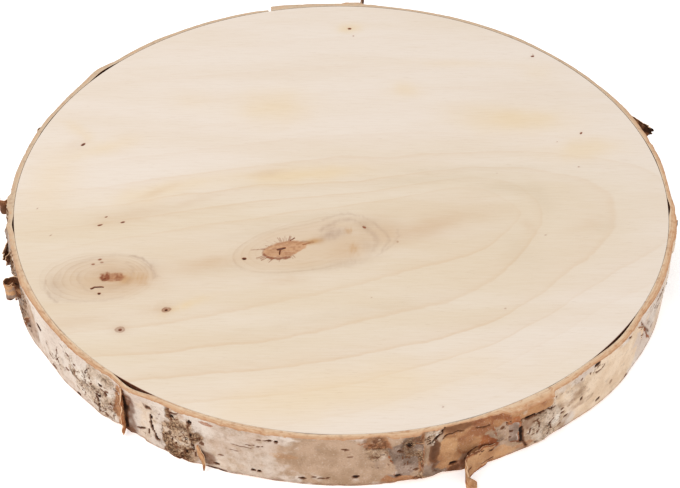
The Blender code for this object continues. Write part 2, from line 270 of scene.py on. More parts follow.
# Soft stains: x, y, half length, half width, tilt in degrees, strength.
GOLDEN_STAINS = [
    (-35, 57, 19, 13, 10, 0.8), (85, 48, 26, 12, -5, 0.9), (115, 25, 20, 8, 10, 0.7),
    (100, 88, 12, 9, 0, 0.3), (-112, 25, 16, 6, 25, 0.6), (-126, 36, 11, 3.5, -50, 0.6),
    (4, 128, 7, 4.5, 0, 0.9), (33, 72, 9, 7, 0, 0.6), (-20, 5, 32, 6, 6, 0.9), (-85, -8, 26, 7, 20, 0.6),
    (0, -128, 70, 13, 10, 0.7), (-135, 0, 14, 22, 0, 0.5), (60, 96, 30, 4, 0, 0.3),
    (-66, -81.5, 10, 2.2, 28, 1.0), (-75, 62, 14, 9, 0, 0.25),
]
AMBER_STAINS = [
    (-13, -41.4, 5.5, 2.0, 20, 0.75), (20, -37, 9, 9, 20, 0.24), (38, -33, 14, 6, 20, 0.28),
    (-83, -64, 8, 9, 75, 0.25), (-60, -56, 14, 5, 12, 0.34), (-98, -25, 17, 5, 18, 0.22),
    (-85, -8, 12, 2.2, 32, 0.2), (-70, -16, 14, 3, 24, 0.16), (-34, 6, 9, 3, 10, 0.22),
    (84, -30, 5, 2.5, -60, 0.2), (-112, -92, 18, 4, 10, 0.18), (-78, -84, 7, 3, 20, 0.2),
    (112, -29, 9, 4, 20, 0.14), (-24, -66, 9, 3, 8, 0.2), (50, -25, 24, 5, 16, 0.15),
    (-128, 27, 6, 4, 40, 0.15), (4, -46, 9, 9, 20, 0.2), (-99, -66, 11, 8, 10, 0.35),
    (-92, -66, 3.6, 3, 0, 0.4),
]
SMOKY_STAINS = [
    (11, -30, 5, 3.6, 40, 0.5), (18, -32, 12, 9, 25, 0.4), (78, -3, 16, 5, -8, 0.55),
    (92, -12, 5, 10, 20, 0.4), (-106, -64, 17, 11, 10, 0.45), (40, 2, 40, 3.5, 6, 0.35),
    (60, 10, 50, 2.5, 3, 0.3), (78, -46, 8, 13, 20, 0.35), (-52, -60, 14, 4, 14, 0.35),
    (-20, -60, 26, 2.5, 12, 0.35), (-40, -36, 20, 3, 16, 0.3), (118, -30, 6, 3.5, 30, 0.3),
    (-20, -26, 30, 3, 12, 0.3), (0, -86, 50, 4, 14, 0.25),
]
PURPLE_STAINS = [
    (-3.5, -36.5, 6.5, 3.4, 25, 0.85), (2, -55, 11, 3.0, 18, 0.35), (12, -44, 4, 5, 20, 0.35),
    (10, -29, 5, 4, 0, 0.3), (-99, -61.5, 7, 2.6, 10, 0.3), (-121, -71, 4, 7, 20, 0.5),
    (-83, -57, 4, 4, 0, 0.45), (-98, -70, 8, 3, 0, 0.25),
]

# Patches of golden fibres that stand up out of the face, in the same form.
GOLDEN_FLECKS = [(3, -34, 2.6, 2.9, 0, 0.5), (6, -46, 3.4, 4.6, 0, 0.3), (-86, -65, 3.8, 6.8, 0, 0.28)]

# Where grime and painted shade darken the wood's side, behind bark that has come loose: angle and half width
# in degrees.
GRIMY_SHADED_SIDES = [(144.5, 6), (192, 4), (237, 6), (319, 9), (353.7, 4)]


def ease(value):
    """Smooth steps from 0 to 1."""
    value = np.clip(value, 0, 1)
    return value * value * (3 - 2 * value)


def between(points, at):
    """Read (place, value) pairs at many places, easing from each pair to the next."""
    places, values = np.array(points, dtype=float).T
    index = np.clip(np.searchsorted(places, at) - 1, 0, len(places) - 2)
    share = ease((at - places[index]) / (places[index + 1] - places[index]))
    return values[index] + (values[index + 1] - values[index]) * share


def lumps(across, up, size, seed):
    """Smooth noise from -1 to 1 whose lumps are about size wide."""
    table = np.random.default_rng(seed).uniform(-1, 1, (257, 1021))
    column, row = np.floor(across / size), np.floor(up / size)
    right, over = ease(across / size - column), ease(up / size - row)
    column, row = column.astype(int), row.astype(int)
    near = table[row % 257, column % 1021] * (1 - right) + table[row % 257, (column + 1) % 1021] * right
    far = table[(row + 1) % 257, column % 1021] * (1 - right)
    far = far + table[(row + 1) % 257, (column + 1) % 1021] * right
    return near * (1 - over) + far * over


def rough(across, up, size, seed, octaves=4):
    """Noise with finer and finer lumps on the first ones."""
    total = 0
    for octave in range(octaves):
        total = total + lumps(across, up, size / 2 ** octave, seed + octave) / 2 ** octave
    return total / 1.6


def oval(x, y, place):
    """Distance from an oval's centre, 1 on its rim, and the direction in its own frame."""
    turned = math.radians(place[4])
    along = ((x - place[0]) * math.cos(turned) + (y - place[1]) * math.sin(turned)) / place[2]
    across = ((y - place[1]) * math.cos(turned) - (x - place[0]) * math.sin(turned)) / place[3]
    return np.hypot(along, across), np.arctan2(across, along)


def stroke(x, y, start, end):
    """Distance of every point from a straight stroke."""
    along = np.array(end, dtype=float) - np.array(start, dtype=float)
    share = np.clip(((x - start[0]) * along[0] + (y - start[1]) * along[1]) / (along @ along), 0, 1)
    return np.hypot(x - start[0] - share * along[0], y - start[1] - share * along[1])


def round_grid(cells, height, facing):
    """A square grid pressed out to a disc, its cells nearly alike all over."""
    grid = bmesh.new()
    bmesh.ops.create_grid(grid, x_segments=cells, y_segments=cells, size=1)
    for vert in grid.verts:
        u, v = vert.co.x, vert.co.y
        if abs(u) > abs(v):
            reach, turn = u, math.pi / 4 * v / u
        else:
            reach, turn = v, math.pi / 2 - (math.pi / 4 * u / v if v else 0)
        radius = reach * (WOOD_RADIUS - EDGE_BREAK)
        vert.co = (radius * math.cos(turn), radius * math.sin(turn), height)
    bmesh.ops.recalc_face_normals(grid, faces=grid.faces)
    if grid.faces[0].normal.z * facing < 0:
        bmesh.ops.reverse_faces(grid, faces=grid.faces)
    return grid


def wood_mesh():
    """The disc: two sawn faces, finer round the knots, and a side with both its edges broken."""
    disc = round_grid(WOOD_CELLS, THICKNESS, 1)
    knotty = FINE_WINDOWS + [knot[:2] + PIN_KNOT_WINDOW for knot in PIN_KNOTS]
    knotty = knotty + [speck[:2] + SPECK_WINDOW for speck in SPECKS]
    near = set()
    for vert in disc.verts:
        for x, y, half_length, half_width in knotty:
            if abs(vert.co.x - x) < half_length and abs(vert.co.y - y) < half_width:
                near.add(vert)
    edges = [edge for edge in disc.edges if edge.verts[0] in near and edge.verts[1] in near]
    rim = [edge for edge in disc.edges if edge.is_boundary]
    for drop, radius in ((EDGE_BREAK, WOOD_RADIUS), (THICKNESS - EDGE_BREAK, WOOD_RADIUS),
                         (THICKNESS, WOOD_RADIUS - EDGE_BREAK)):
        made = bmesh.ops.extrude_edge_only(disc, edges=rim)["geom"]
        rim = [thing for thing in made if isinstance(thing, bmesh.types.BMEdge)]
        for vert in [thing for thing in made if isinstance(thing, bmesh.types.BMVert)]:
            scale = radius / math.hypot(vert.co.x, vert.co.y)
            vert.co = (vert.co.x * scale, vert.co.y * scale, THICKNESS - drop)
    bmesh.ops.subdivide_edges(disc, edges=edges, cuts=KNOT_CUTS, use_grid_fill=True)
    underside = round_grid(WOOD_CELLS, 0, -1)
    lower = bpy.data.meshes.new("lower_face")
    underside.to_mesh(lower)
    underside.free()
    disc.from_mesh(lower)
    bpy.data.meshes.remove(lower)
    bmesh.ops.remove_doubles(disc, verts=disc.verts, dist=0.01)
    bmesh.ops.recalc_face_normals(disc, faces=disc.faces)
    mesh = bpy.data.meshes.new("wood_disc")
    disc.to_mesh(mesh)
    disc.free()
    return mesh


def set_values(mesh, values):
    """Keep named values on a mesh's points for its material to read."""
    for name, numbers in values.items():
        mesh.attributes.new(name, "FLOAT", "POINT").data.foreach_set("value", numbers.astype(np.float32))


def places_of(mesh):
    """The points of a mesh as three arrays."""
    flat = np.empty(len(mesh.vertices) * 3, dtype=np.float32)
    mesh.vertices.foreach_get("co", flat)
    return flat.reshape(-1, 3).astype(float).T


def stain(x, y, spots):
    """Soft stains laid over one another."""
    total = np.zeros_like(x)
    for spot in spots:
        reach, turn = oval(x, y, spot)
        reach = reach + 0.35 * rough(x, y, spot[3] * 1.4, 300 + abs(int(spot[0])), 3)
        total = total + spot[5] * np.exp(-reach ** 2 * 1.2)
    return np.clip(total, 0, 1)


def field_through(levels, x, y):
    """A smooth field that has each level's value at that level's places."""
    known = np.array([(*place, level) for level, places in levels for place in places], dtype=float)

    def bend(gap):
        return gap ** 2 * np.log(gap + 0.001)

    count = len(known)
    plane = np.column_stack([np.ones(count), known[:, :2]])
    gaps = np.hypot(known[:, None, 0] - known[None, :, 0], known[:, None, 1] - known[None, :, 1])
    system = np.block([[bend(gaps) + 25 * np.eye(count), plane], [plane.T, np.zeros((3, 3))]])
    weights = np.linalg.solve(system, np.append(known[:, 2], [0, 0, 0]))
    total = weights[count] + weights[count + 1] * x + weights[count + 2] * y
    for place, weight in zip(known, weights):
        total = total + weight * bend(np.hypot(x - place[0], y - place[1]))
    return total


def strokes(x, y, lines, seed, tremble=0.5, soft=0.9):
    """Ragged strokes along lists of places, each with a half width and a strength."""
    total = np.zeros_like(x)
    shift_x, shift_y = tremble * rough(x, y, 1.6, seed, 3), tremble * rough(x, y, 1.6, seed + 7, 3)
    for half_width, strength, places in lines:
        for start, end in zip(places, places[1:]):
            gap = stroke(x + shift_x, y + shift_y, start, end)
            total = np.maximum(total, strength * ease((half_width * 1.5 - gap) / (half_width * soft)))
    return total


def nested(x, y, heart, outer):
    """Where a point lies in ovals that drift from a heart out to an oval, on which it is 1."""
    tilt = math.radians(outer[4])

    def own(gap_x, gap_y):
        return ((gap_x * math.cos(tilt) + gap_y * math.sin(tilt)) / outer[2],
                (gap_y * math.cos(tilt) - gap_x * math.sin(tilt)) / outer[3])

    across, up = own(x - heart[0], y - heart[1])
    drift_across, drift_up = own(outer[0] - heart[0], outer[1] - heart[1])
    shrink = 1 - drift_across ** 2 - drift_up ** 2
    pull = across * drift_across + up * drift_up
    return (np.sqrt(pull ** 2 + shrink * (across ** 2 + up ** 2)) - pull) / shrink


# The wood's points in mm, and how dark its side is, from grime and painted shade.
wood = wood_mesh()
wx, wy, wz = places_of(wood)
top = (wz > THICKNESS - 0.01).astype(float)
side = (np.abs(wz - THICKNESS / 2) < THICKNESS / 2 - 0.1).astype(float)
turn = np.degrees(np.arctan2(wy, wx)) % 360
side_grime_and_shade = 0.08 + 0.12 * ease(0.5 + 1.2 * lumps(turn, wz * 0, 9, 15))
for middle, half_width in GRIMY_SHADED_SIDES:
    side_grime_and_shade = np.maximum(side_grime_and_shade, 0.62 * ease(1.6 - 1.6 * np.abs(turn - middle) / half_width))
side = side * side_grime_and_shade

# The growth rings, and the finer ovals round the two large knots. Both fade towards each other.
drift_x = wx + 1.3 * rough(wx / 2.2, wy, 26, 1, 3)
drift_y = wy + 1.0 * rough(wx / 2.2, wy, 22, 5, 3) + 0.25 * rough(wx / 3, wy, 4, 9, 2)
growth = field_through(RINGS, drift_x, drift_y)
wobble = 0.045 * rough(wx, wy, 9, 21, 3)
main_step = nested(wx, wy, MAIN_HEART, MAIN_OVAL) + wobble
left_step = nested(wx, wy, LEFT_HEART, LEFT_OVAL) + wobble
main_strength = ease((1.12 - main_step) / 0.1) * ease((main_step - 0.45) / 0.15) * ease((6 - wx) / 14)
main_strength = main_strength * (0.32 + 0.2 * ease((main_step - 0.75) / 0.2))
outer_left, upper_right = ease((-106 - wx) / 8), ease((wx + 98) / 8) * ease((wy + 68) / 8)
left_strength = ease((1.12 - left_step) / 0.1) * ease((left_step - 0.34) / 0.1)
left_strength = left_strength * (0.25 + 0.5 * np.maximum(outer_left, upper_right))
near_left = wx < -72
eye = np.where(near_left, left_step / LEFT_SPACING, main_step / MAIN_SPACING)
eye_strength = np.where(near_left, left_strength, main_strength) * (0.75 + 0.35 * lumps(wx, wy, 8, 27))
inside = ease((1.2 - np.minimum(main_step, left_step)) / 0.25)
lower = ease((growth - 0.4) / 0.8) * np.where(wy < 0.22 * wx - 38, 1.0, 0.55) * ease((5.6 - growth) / 3.0)
sideways = 0.4 + 0.6 * ease((wx + 135) / 70) - 0.3 * ease((wx - 30) / 70)
ring_strength = (0.14 + 0.86 * lower) * sideways * (0.78 + 0.3 * lumps(wx / 3, wy, 24, 31)) * (1 - inside)

# Warmer wood near the heart, stains, and the lines that curl round the knots.
warmth = ease((4.9 - growth + 0.9 * rough(wx / 2, wy, 50, 41, 3)) / 3.4)
golden, smoky, purple = (stain(wx, wy, spots) for spots in (GOLDEN_STAINS, SMOKY_STAINS, PURPLE_STAINS))
amber = stain(wx, wy, AMBER_STAINS) + 0.22 * ease((1.15 - np.minimum(main_step, left_step)) / 0.5)
amber = amber + 0.10 * np.exp(-np.clip(growth, 0, 9) ** 2 / 0.5)
fibres = rough(wx, wy / 4, 0.9, 63, 2)
for fleck in GOLDEN_FLECKS:
    reach = oval(wx, wy, fleck)[0]
    amber = amber + fleck[5] * ease((1.2 - reach + 0.5 * fibres) / 1.2) * (0.8 + 0.4 * fibres)
arcs = 1.25 * strokes(wx, wy, KNOT_LINES, 35, 0.6, 2.2)
arcs = arcs * (0.72 + 0.3 * rough(wx, wy, 4.0, 37, 3) + 0.35 * fibres)
arcs = np.clip(np.maximum(arcs, purple * (0.9 + 0.4 * fibres)), 0, 1)

# The large knots: brown tissue, rust in it and at its rim, and cracks.
ragged = 0.10 * rough(wx, wy, 2.2, 51, 3)
speckle = rough(wx, wy, 1.15, 57, 2)
core_reach, core_turn = oval(wx, wy, MAIN_KNOT)
core_along, core_across = core_reach * np.cos(core_turn), core_reach * np.sin(core_turn)
core_reach = np.hypot(core_along, core_across * (1 + 0.45 * np.clip(core_along, 0, 1.3) ** 2))
tissue = ease((1.02 - core_reach + 1.2 * ragged) / 0.16)
rust = tissue * np.clip(0.18 + 0.5 * speckle, 0, 1)
rust = np.maximum(rust, strokes(wx, wy, KNOT_RIM, 39, 0.6))
for core in LEFT_CORES:
    reach = oval(wx, wy, core)[0]
    blot = ease((1.1 - reach + 4 * ragged + 0.3 * fibres) / 0.7)
    rust = np.maximum(rust, core[5] * blot * (0.8 + 0.4 * fibres + 0.3 * speckle))
bridge = ease((1.05 - oval(wx, wy, LEFT_BRIDGE)[0] + 2 * ragged) / 0.5)
tissue = np.maximum(tissue, 0.95 * bridge)
rust = np.maximum(rust, 0.3 * bridge)
pits = strokes(wx, wy, KNOT_CRACKS, 43, 0.3)
pits = np.maximum(pits, 0.55 * rust * ease((-0.1 - fibres) / 0.3) * near_left)

# Pin knots and specks, each with a faint halo and a small hollow, and the lashes.
halo = np.zeros_like(wx)
hollow = 0.10 * tissue + 0.45 * pits
for knot in PIN_KNOTS:
    reach = oval(wx, wy, knot)[0]
    ring = ease((1.08 - reach + 2 * ragged) / 0.3) * (0.55 + 0.4 * ease(reach * 2 - 1))
    rust = np.maximum(rust, knot[5] * ring)
    centre = ease((0.42 - reach + 1.2 * ragged) / 0.2)
    pits = np.maximum(pits, centre * knot[5])
    halo = np.maximum(halo, 0.6 * np.exp(-(reach / 1.7) ** 2))
    hollow = hollow + 0.5 * centre
for speck in SPECKS:
    reach = oval(wx, wy, speck)[0]
    core = ease((1.05 - reach + 2.0 * ragged) / 0.6)
    pits = np.maximum(pits, core * speck[5])
    halo = np.maximum(halo, 0.25 * np.exp(-(reach / 1.8) ** 2) * speck[5])
    hollow = hollow + 0.4 * core * speck[5]
lashes = np.random.default_rng(61)
tilt = math.radians(MAIN_KNOT[4])
for lash in range(LASHES):
    above = lash % 2 == 0
    turn = math.radians(lashes.uniform(55, 150) if above else lashes.uniform(190, 285))
    ends = []
    for reach in (lashes.uniform(0.9, 1.0), lashes.uniform(1.12, 1.6 if above else 1.4)):
        along, across = MAIN_KNOT[2] * reach * math.cos(turn), MAIN_KNOT[3] * reach * math.sin(turn)
        ends.append((MAIN_KNOT[0] + along * math.cos(tilt) - across * math.sin(tilt),
                     MAIN_KNOT[1] + along * math.sin(tilt) + across * math.cos(tilt)))
    pits = np.maximum(pits, 0.55 * ease((0.34 - stroke(wx, wy, *ends)) / 0.26) * lashes.uniform(0.15, 0.75))

# The face is hollowed at the knots, and every value is kept for the material.
face_height = wz - top * (hollow - 0.03 * tissue * rough(wx, wy, 1.6, 71, 2))
wood.vertices.foreach_set("co", (np.stack([wx, wy, face_height], 1) * MM).astype(np.float32).ravel())
# The side's grime and painted shade ride in the pits values and take the pits colours.
set_values(wood, {
    "growth": growth, "ring_strength": ring_strength, "eye": eye, "eye_strength": eye_strength,
    "warmth": warmth, "golden": golden, "amber": amber, "smoky": smoky, "arcs": arcs * top,
    "tissue": tissue * top, "rust": rust * top, "pits": np.maximum(pits * top, side), "halo": halo * top,
})
wood.shade_smooth()
wood.set_sharp_from_angle(angle=math.radians(35))


def laid_over(tree, below, above, source, low, high, most, where=1, easing="SMOOTHSTEP"):
    """One colour over another: its share goes up to most while a source goes from low to high."""
    share = add(tree, "ShaderNodeMapRange", {"interpolation_type": easing}, {
        "Value": source, "From Min": low, "From Max": high, "To Max": most}).outputs[0]
    placed = add(tree, "ShaderNodeMath", {"operation": "MULTIPLY"}, {0: share, 1: where}).outputs[0]
    return add(tree, "ShaderNodeMix", {"data_type": "RGBA"}, {0: placed, 6: below, 7: above}).outputs[2]


# Sanded bare birch: satin, with very fine pale and dark fibres along the tree, 0.3 to 0.5 mm across,
# in long drifts of warmer and paler wood. Each ring is a soft wash that ends in a thin darker line.
WOOD_PALE = "F1E2D3"
WOOD_WARM = "EAD8C0"

# Noise: name, how far its fibres lean in degrees, lumps a metre along, across and through the board.
WOOD_NOISE = [
    ("fibre", -9, (90, 2200, 400), 3), ("cloud", -8, (10, 55, 30), 5), ("vessel", -8, (220, 3400, 900), 1),
]

# Bands: their value, their strength, how far they waver, where the wash starts and the line rises.
WOOD_BANDS = [("growth", "ring_strength", 0.09, 0.25, 0.82), ("eye", "eye_strength", 0.16, 0.1, 0.6)]

# Layers of colour, the first below: source, the values between which it comes in, its share.
WOOD_LAYERS = [
    ("cloud", 0.46, 0.75, 0.22, "E3CBA8"), ("cloud", 0.56, 0.30, 0.3, "F4E8DC"),
    ("growth", 0, 1, 0.42, "D9B083"), ("eye", 0, 1, 0.5, "BC9B78"), ("golden", 0, 1, 0.8, "EFD6AF"),
    ("smoky", 0, 1, 0.55, "D3BFA3"), ("amber", 0, 1, 1, "CFA578"), ("arcs", 0, 1, 0.6, "B0917C"),
    ("halo", 0, 1, 0.5, "C69A70"), ("tissue", 0, 1, 0.85, "D09B70"), ("rust", 0, 1.05, 1, "8E4B28"),
    # The two pits colours also paint the grime and painted shade on the wood's side, seen in the gaps behind
    # loose bark.
    ("pits", 0, 0.55, 0.96, "8E451E"), ("pits", 0.4, 1, 1, "3E1708"), ("fibre", 0.5, 0.8, 0.16, "CDAF88"),
    ("fibre", 0.5, 0.2, 0.16, "F6EDE2"), ("vessel", 0.66, 0.78, 0.18, "B08F6C"),
]
birch, tree, shader = new_material("birch_flat_sawn_sanded", 0.62)
spot = add(tree, "ShaderNodeTexCoord").outputs["Object"]
shown = {name: add(tree, "ShaderNodeAttribute", {"attribute_name": name}).outputs["Fac"]
         for name in ("warmth", "golden", "smoky", "amber", "arcs", "halo", "tissue", "rust", "pits")}
for name, lean, scale, detail in WOOD_NOISE:
    place = add(tree, "ShaderNodeMapping", None, {
        "Vector": spot, "Rotation": (0, 0, math.radians(lean)), "Scale": scale}).outputs[0]
    shown[name] = add(tree, "ShaderNodeTexNoise", None, {
        "Vector": place, "Scale": 1, "Detail": detail}).outputs["Fac"]
ripple = add(tree, "ShaderNodeTexNoise", None, {"Vector": spot, "Scale": 160, "Detail": 3}).outputs["Fac"]
sway = add(tree, "ShaderNodeMapRange", None, {"Value": ripple, "To Min": -0.7, "To Max": 0.7}).outputs[0]
for name, strength, waver, start, rise in WOOD_BANDS:
    value, strong = (add(tree, "ShaderNodeAttribute", {"attribute_name": one}).outputs["Fac"]
                     for one in (name, strength))
    wavy = add(tree, "ShaderNodeMath", {"operation": "MULTIPLY_ADD"}, {
        0: sway, 1: waver, 2: value}).outputs[0]
    phase = add(tree, "ShaderNodeMath", {"operation": "FRACT"}, {0: wavy}).outputs[0]
    wash, line, fall = (
        add(tree, "ShaderNodeMapRange", {"interpolation_type": "SMOOTHSTEP"}, {
            "Value": phase, "From Min": low, "From Max": high, "To Min": first, "To Max": last}).outputs[0]
        for low, high, first, last in ((start, 1, 0, 0.42), (rise, 0.96, 0, 0.58), (0.94, 1, 1, 0)))
    band = add(tree, "ShaderNodeMath", {"operation": "ADD"}, {0: wash, 1: line}).outputs[0]
    for share in (fall, strong):
        band = add(tree, "ShaderNodeMath", {"operation": "MULTIPLY"}, {0: band, 1: share}).outputs[0]
    shown[name] = band
colour = laid_over(tree, linear(WOOD_PALE), linear(WOOD_WARM), shown["warmth"], 0, 1, 1, easing="LINEAR")
for name, low, high, most, code in WOOD_LAYERS:
    easing = "SMOOTHSTEP" if name == "pits" else "LINEAR"
    colour = laid_over(tree, colour, linear(code), shown[name], low, high, most, easing=easing)
tree.links.new(colour, shader.inputs["Base Color"])
fuzz = add(tree, "ShaderNodeBump", None, {
    "Height": shown["fibre"], "Strength": 0.25, "Distance": 0.0001}).outputs[0]
tree.links.new(fuzz, shader.inputs["Normal"])
wood.materials.append(birch)
wood_piece = new_piece("wood_round", wood)
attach(wood_piece, "root")
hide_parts("wood_disc")


# The bark strip
# Birch bark peeled in one long strip, 2 to 4 mm thick, and glued round the wood with its ends
# almost meeting at the back. White outer bark, torn in places to the tan and orange layers below.
GLUE_GAP = 0.3
MM_A_DEGREE = 2.67
SEAM_THICK_END = 104.7
SEAM_THIN_END = 105.5
STRIP_COLUMNS = 1480
FACE_ROWS = 46
RIM_ROWS = 5
BACK_ROWS = 4
FOOT_ROWS = 3
FOOT_FLARE = 1.1
FOOT_WAVES = [(13, 0), (31, 40)]
FOOT_WAVE_HEIGHT = 0.45
FOOT_WAVE_LEVEL = 0.6
FOOT_CHIP = (285, 3.5, 1.4)
LOOSE_DEPTH = 16.0
PLATE_EDGE = 0.28

# The strip's thickness in mm at angles round it, read on past 360 degrees to its other end.
BARK_THICKNESS = [
    (SEAM_THIN_END, 0.9), (108.5, 1.6), (125, 1.9), (140, 1.8), (146, 2.5), (156, 2.0),
    (185, 1.9), (198, 2.2), (206, 2.9), (214, 2.4), (228, 2.4), (237, 1.8), (246, 2.4),
    (262, 2.6), (285, 2.2), (297, 2.4), (310, 2.6), (320, 2.6), (330, 2.6), (342, 2.3),
    (365, 2.0), (405, 1.7), (440, 1.7), (452, 2.3), (458, 2.8), (360 + SEAM_THICK_END, 3.8),
]

# Places where the strip has come loose at its top: angle, half width in degrees, gap in mm.
LOOSE_PLACES = [(144.5, 5.0, 1.2), (192, 3.0, 0.7), (237, 5.0, 1.8), (319, 8.0, 1.0), (353.7, 3.0, 0.8)]
HAIRLINE = 0.05
HAIRLINE_PLACES = [(266, 5, 0.3), (289, 7, 0.28), (219, 4, 0.15), (304, 4, 0.2), (8, 6, 0.2), (163, 6, 0.2)]

# Waves of the face: height in mm, count round the slice, mm a radian up the strip, phase. Then raised
# and sunken plates: angle, height, half width in degrees, half height, rise.
FACE_WAVES = [(0.22, 9, 7, 1), (0.18, 23, 5, 0)]
PLATES = [
    (186.0, 22.5, 2.2, 5.0, 1.3), (195.5, 20.0, 4.0, 6.5, 0.8), (214.0, 13.0, 5.0, 9.0, 0.4),
    (228.5, 14.5, 4.5, 10.0, 0.9), (237.8, 12.0, 1.7, 13.0, -0.8), (245.7, 13.0, 3.0, 14.0, 0.8),
    (264.0, 19.5, 6.0, 5.5, -0.5), (275.2, 19.0, 2.2, 8.0, -0.6), (279.6, 16.0, 2.6, 13.0, 1.5),
    (288.5, 14.0, 4.8, 14.0, -0.9), (299.0, 25.0, 4.2, 3.6, 2.6), (301.5, 10.0, 3.6, 9.5, 0.8),
    (315.0, 10.0, 10.0, 11.0, 0.4), (348.5, 23.0, 4.0, 4.5, 0.9), (87.8, 23.5, 2.4, 4.0, 1.6),
]

# Lenticels and holes, dark: angle, height, half length, half height, strength.
SPOTS = [
    (213.8, 17.7, 2.0, 1.3, 1.0), (217.5, 8.5, 2.2, 0.5, 0.5), (217.5, 2.0, 1.8, 0.7, 0.7),
    (222.8, 20.7, 1.3, 0.6, 0.5), (221.0, 22.2, 1.3, 0.5, 0.35), (224.5, 1.0, 1.1, 0.5, 0.9),
    (222.0, 10.5, 1.3, 0.6, 0.5), (209.5, 23.5, 1.2, 0.5, 0.5), (231.2, 20.2, 0.9, 0.7, 0.8),
    (230.7, 14.0, 1.1, 1.2, 1.0), (232.9, 12.0, 0.5, 0.9, 0.8), (232.4, 18.5, 0.9, 0.6, 0.4),
    (241.5, 5.0, 1.2, 0.5, 0.8), (240.2, 21.5, 1.3, 0.8, 0.6), (247.5, 23.5, 0.9, 1.1, 1.0),
    (244.7, 23.5, 0.8, 0.7, 0.6), (247.6, 16.5, 0.8, 0.7, 1.0), (246.9, 13.0, 0.6, 0.8, 0.8),
    (246.8, 6.3, 0.9, 0.8, 0.8), (249.2, 12.5, 0.9, 1.1, 0.6), (244.2, 14.2, 0.7, 1.1, 0.6),
    (244.5, 9.5, 0.8, 0.5, 0.6), (259.7, 23.4, 0.7, 0.6, 1.0), (260.7, 23.1, 0.8, 0.7, 1.0),
    (257.2, 4.3, 0.8, 0.6, 1.0), (258.1, 4.1, 0.8, 0.6, 1.0), (264.5, 3.5, 1.3, 0.6, 0.9),
    (270.7, 21.2, 1.2, 0.5, 0.8), (272.3, 5.3, 1.2, 0.7, 1.0), (251.4, 3.4, 1.1, 0.6, 0.8),
    (252.3, 9.0, 1.3, 0.5, 0.4), (254.3, 13.4, 1.9, 0.4, 0.4), (271.4, 17.0, 1.0, 0.35, 0.6),
    (280.0, 22.5, 1.2, 1.3, 1.0), (278.4, 6.0, 1.4, 0.8, 1.0), (281.0, 8.5, 1.0, 0.6, 0.7),
    (287.0, 4.7, 1.8, 0.8, 0.9), (294.5, 18.5, 0.8, 1.0, 0.5), (305.4, 13.5, 1.0, 0.5, 0.7),
    (305.6, 11.0, 0.9, 0.5, 0.6), (305.3, 4.3, 1.0, 0.6, 0.8), (306.5, 7.5, 1.1, 0.6, 0.8),
    (309.3, 23.5, 0.5, 0.5, 0.8), (311.3, 23.5, 0.5, 0.5, 0.8), (312.8, 25.8, 1.4, 0.9, 1.0),
    (309.5, 12.5, 0.7, 0.9, 0.8), (313.6, 4.1, 1.2, 0.8, 0.9), (316.8, 8.0, 1.6, 1.1, 0.3),
    (321.6, 0.9, 1.0, 0.5, 0.5), (329.3, 24.6, 1.8, 0.5, 0.5), (334.5, 19.0, 4.0, 0.8, 0.4),
    (332.0, 24.6, 2.5, 0.6, 0.4), (337.0, 13.0, 3.0, 0.8, 0.4), (331.5, 8.5, 1.5, 0.6, 0.4),
    (203.0, 21.0, 1.6, 0.8, 0.7), (205.5, 9.0, 1.4, 0.6, 0.6),
]

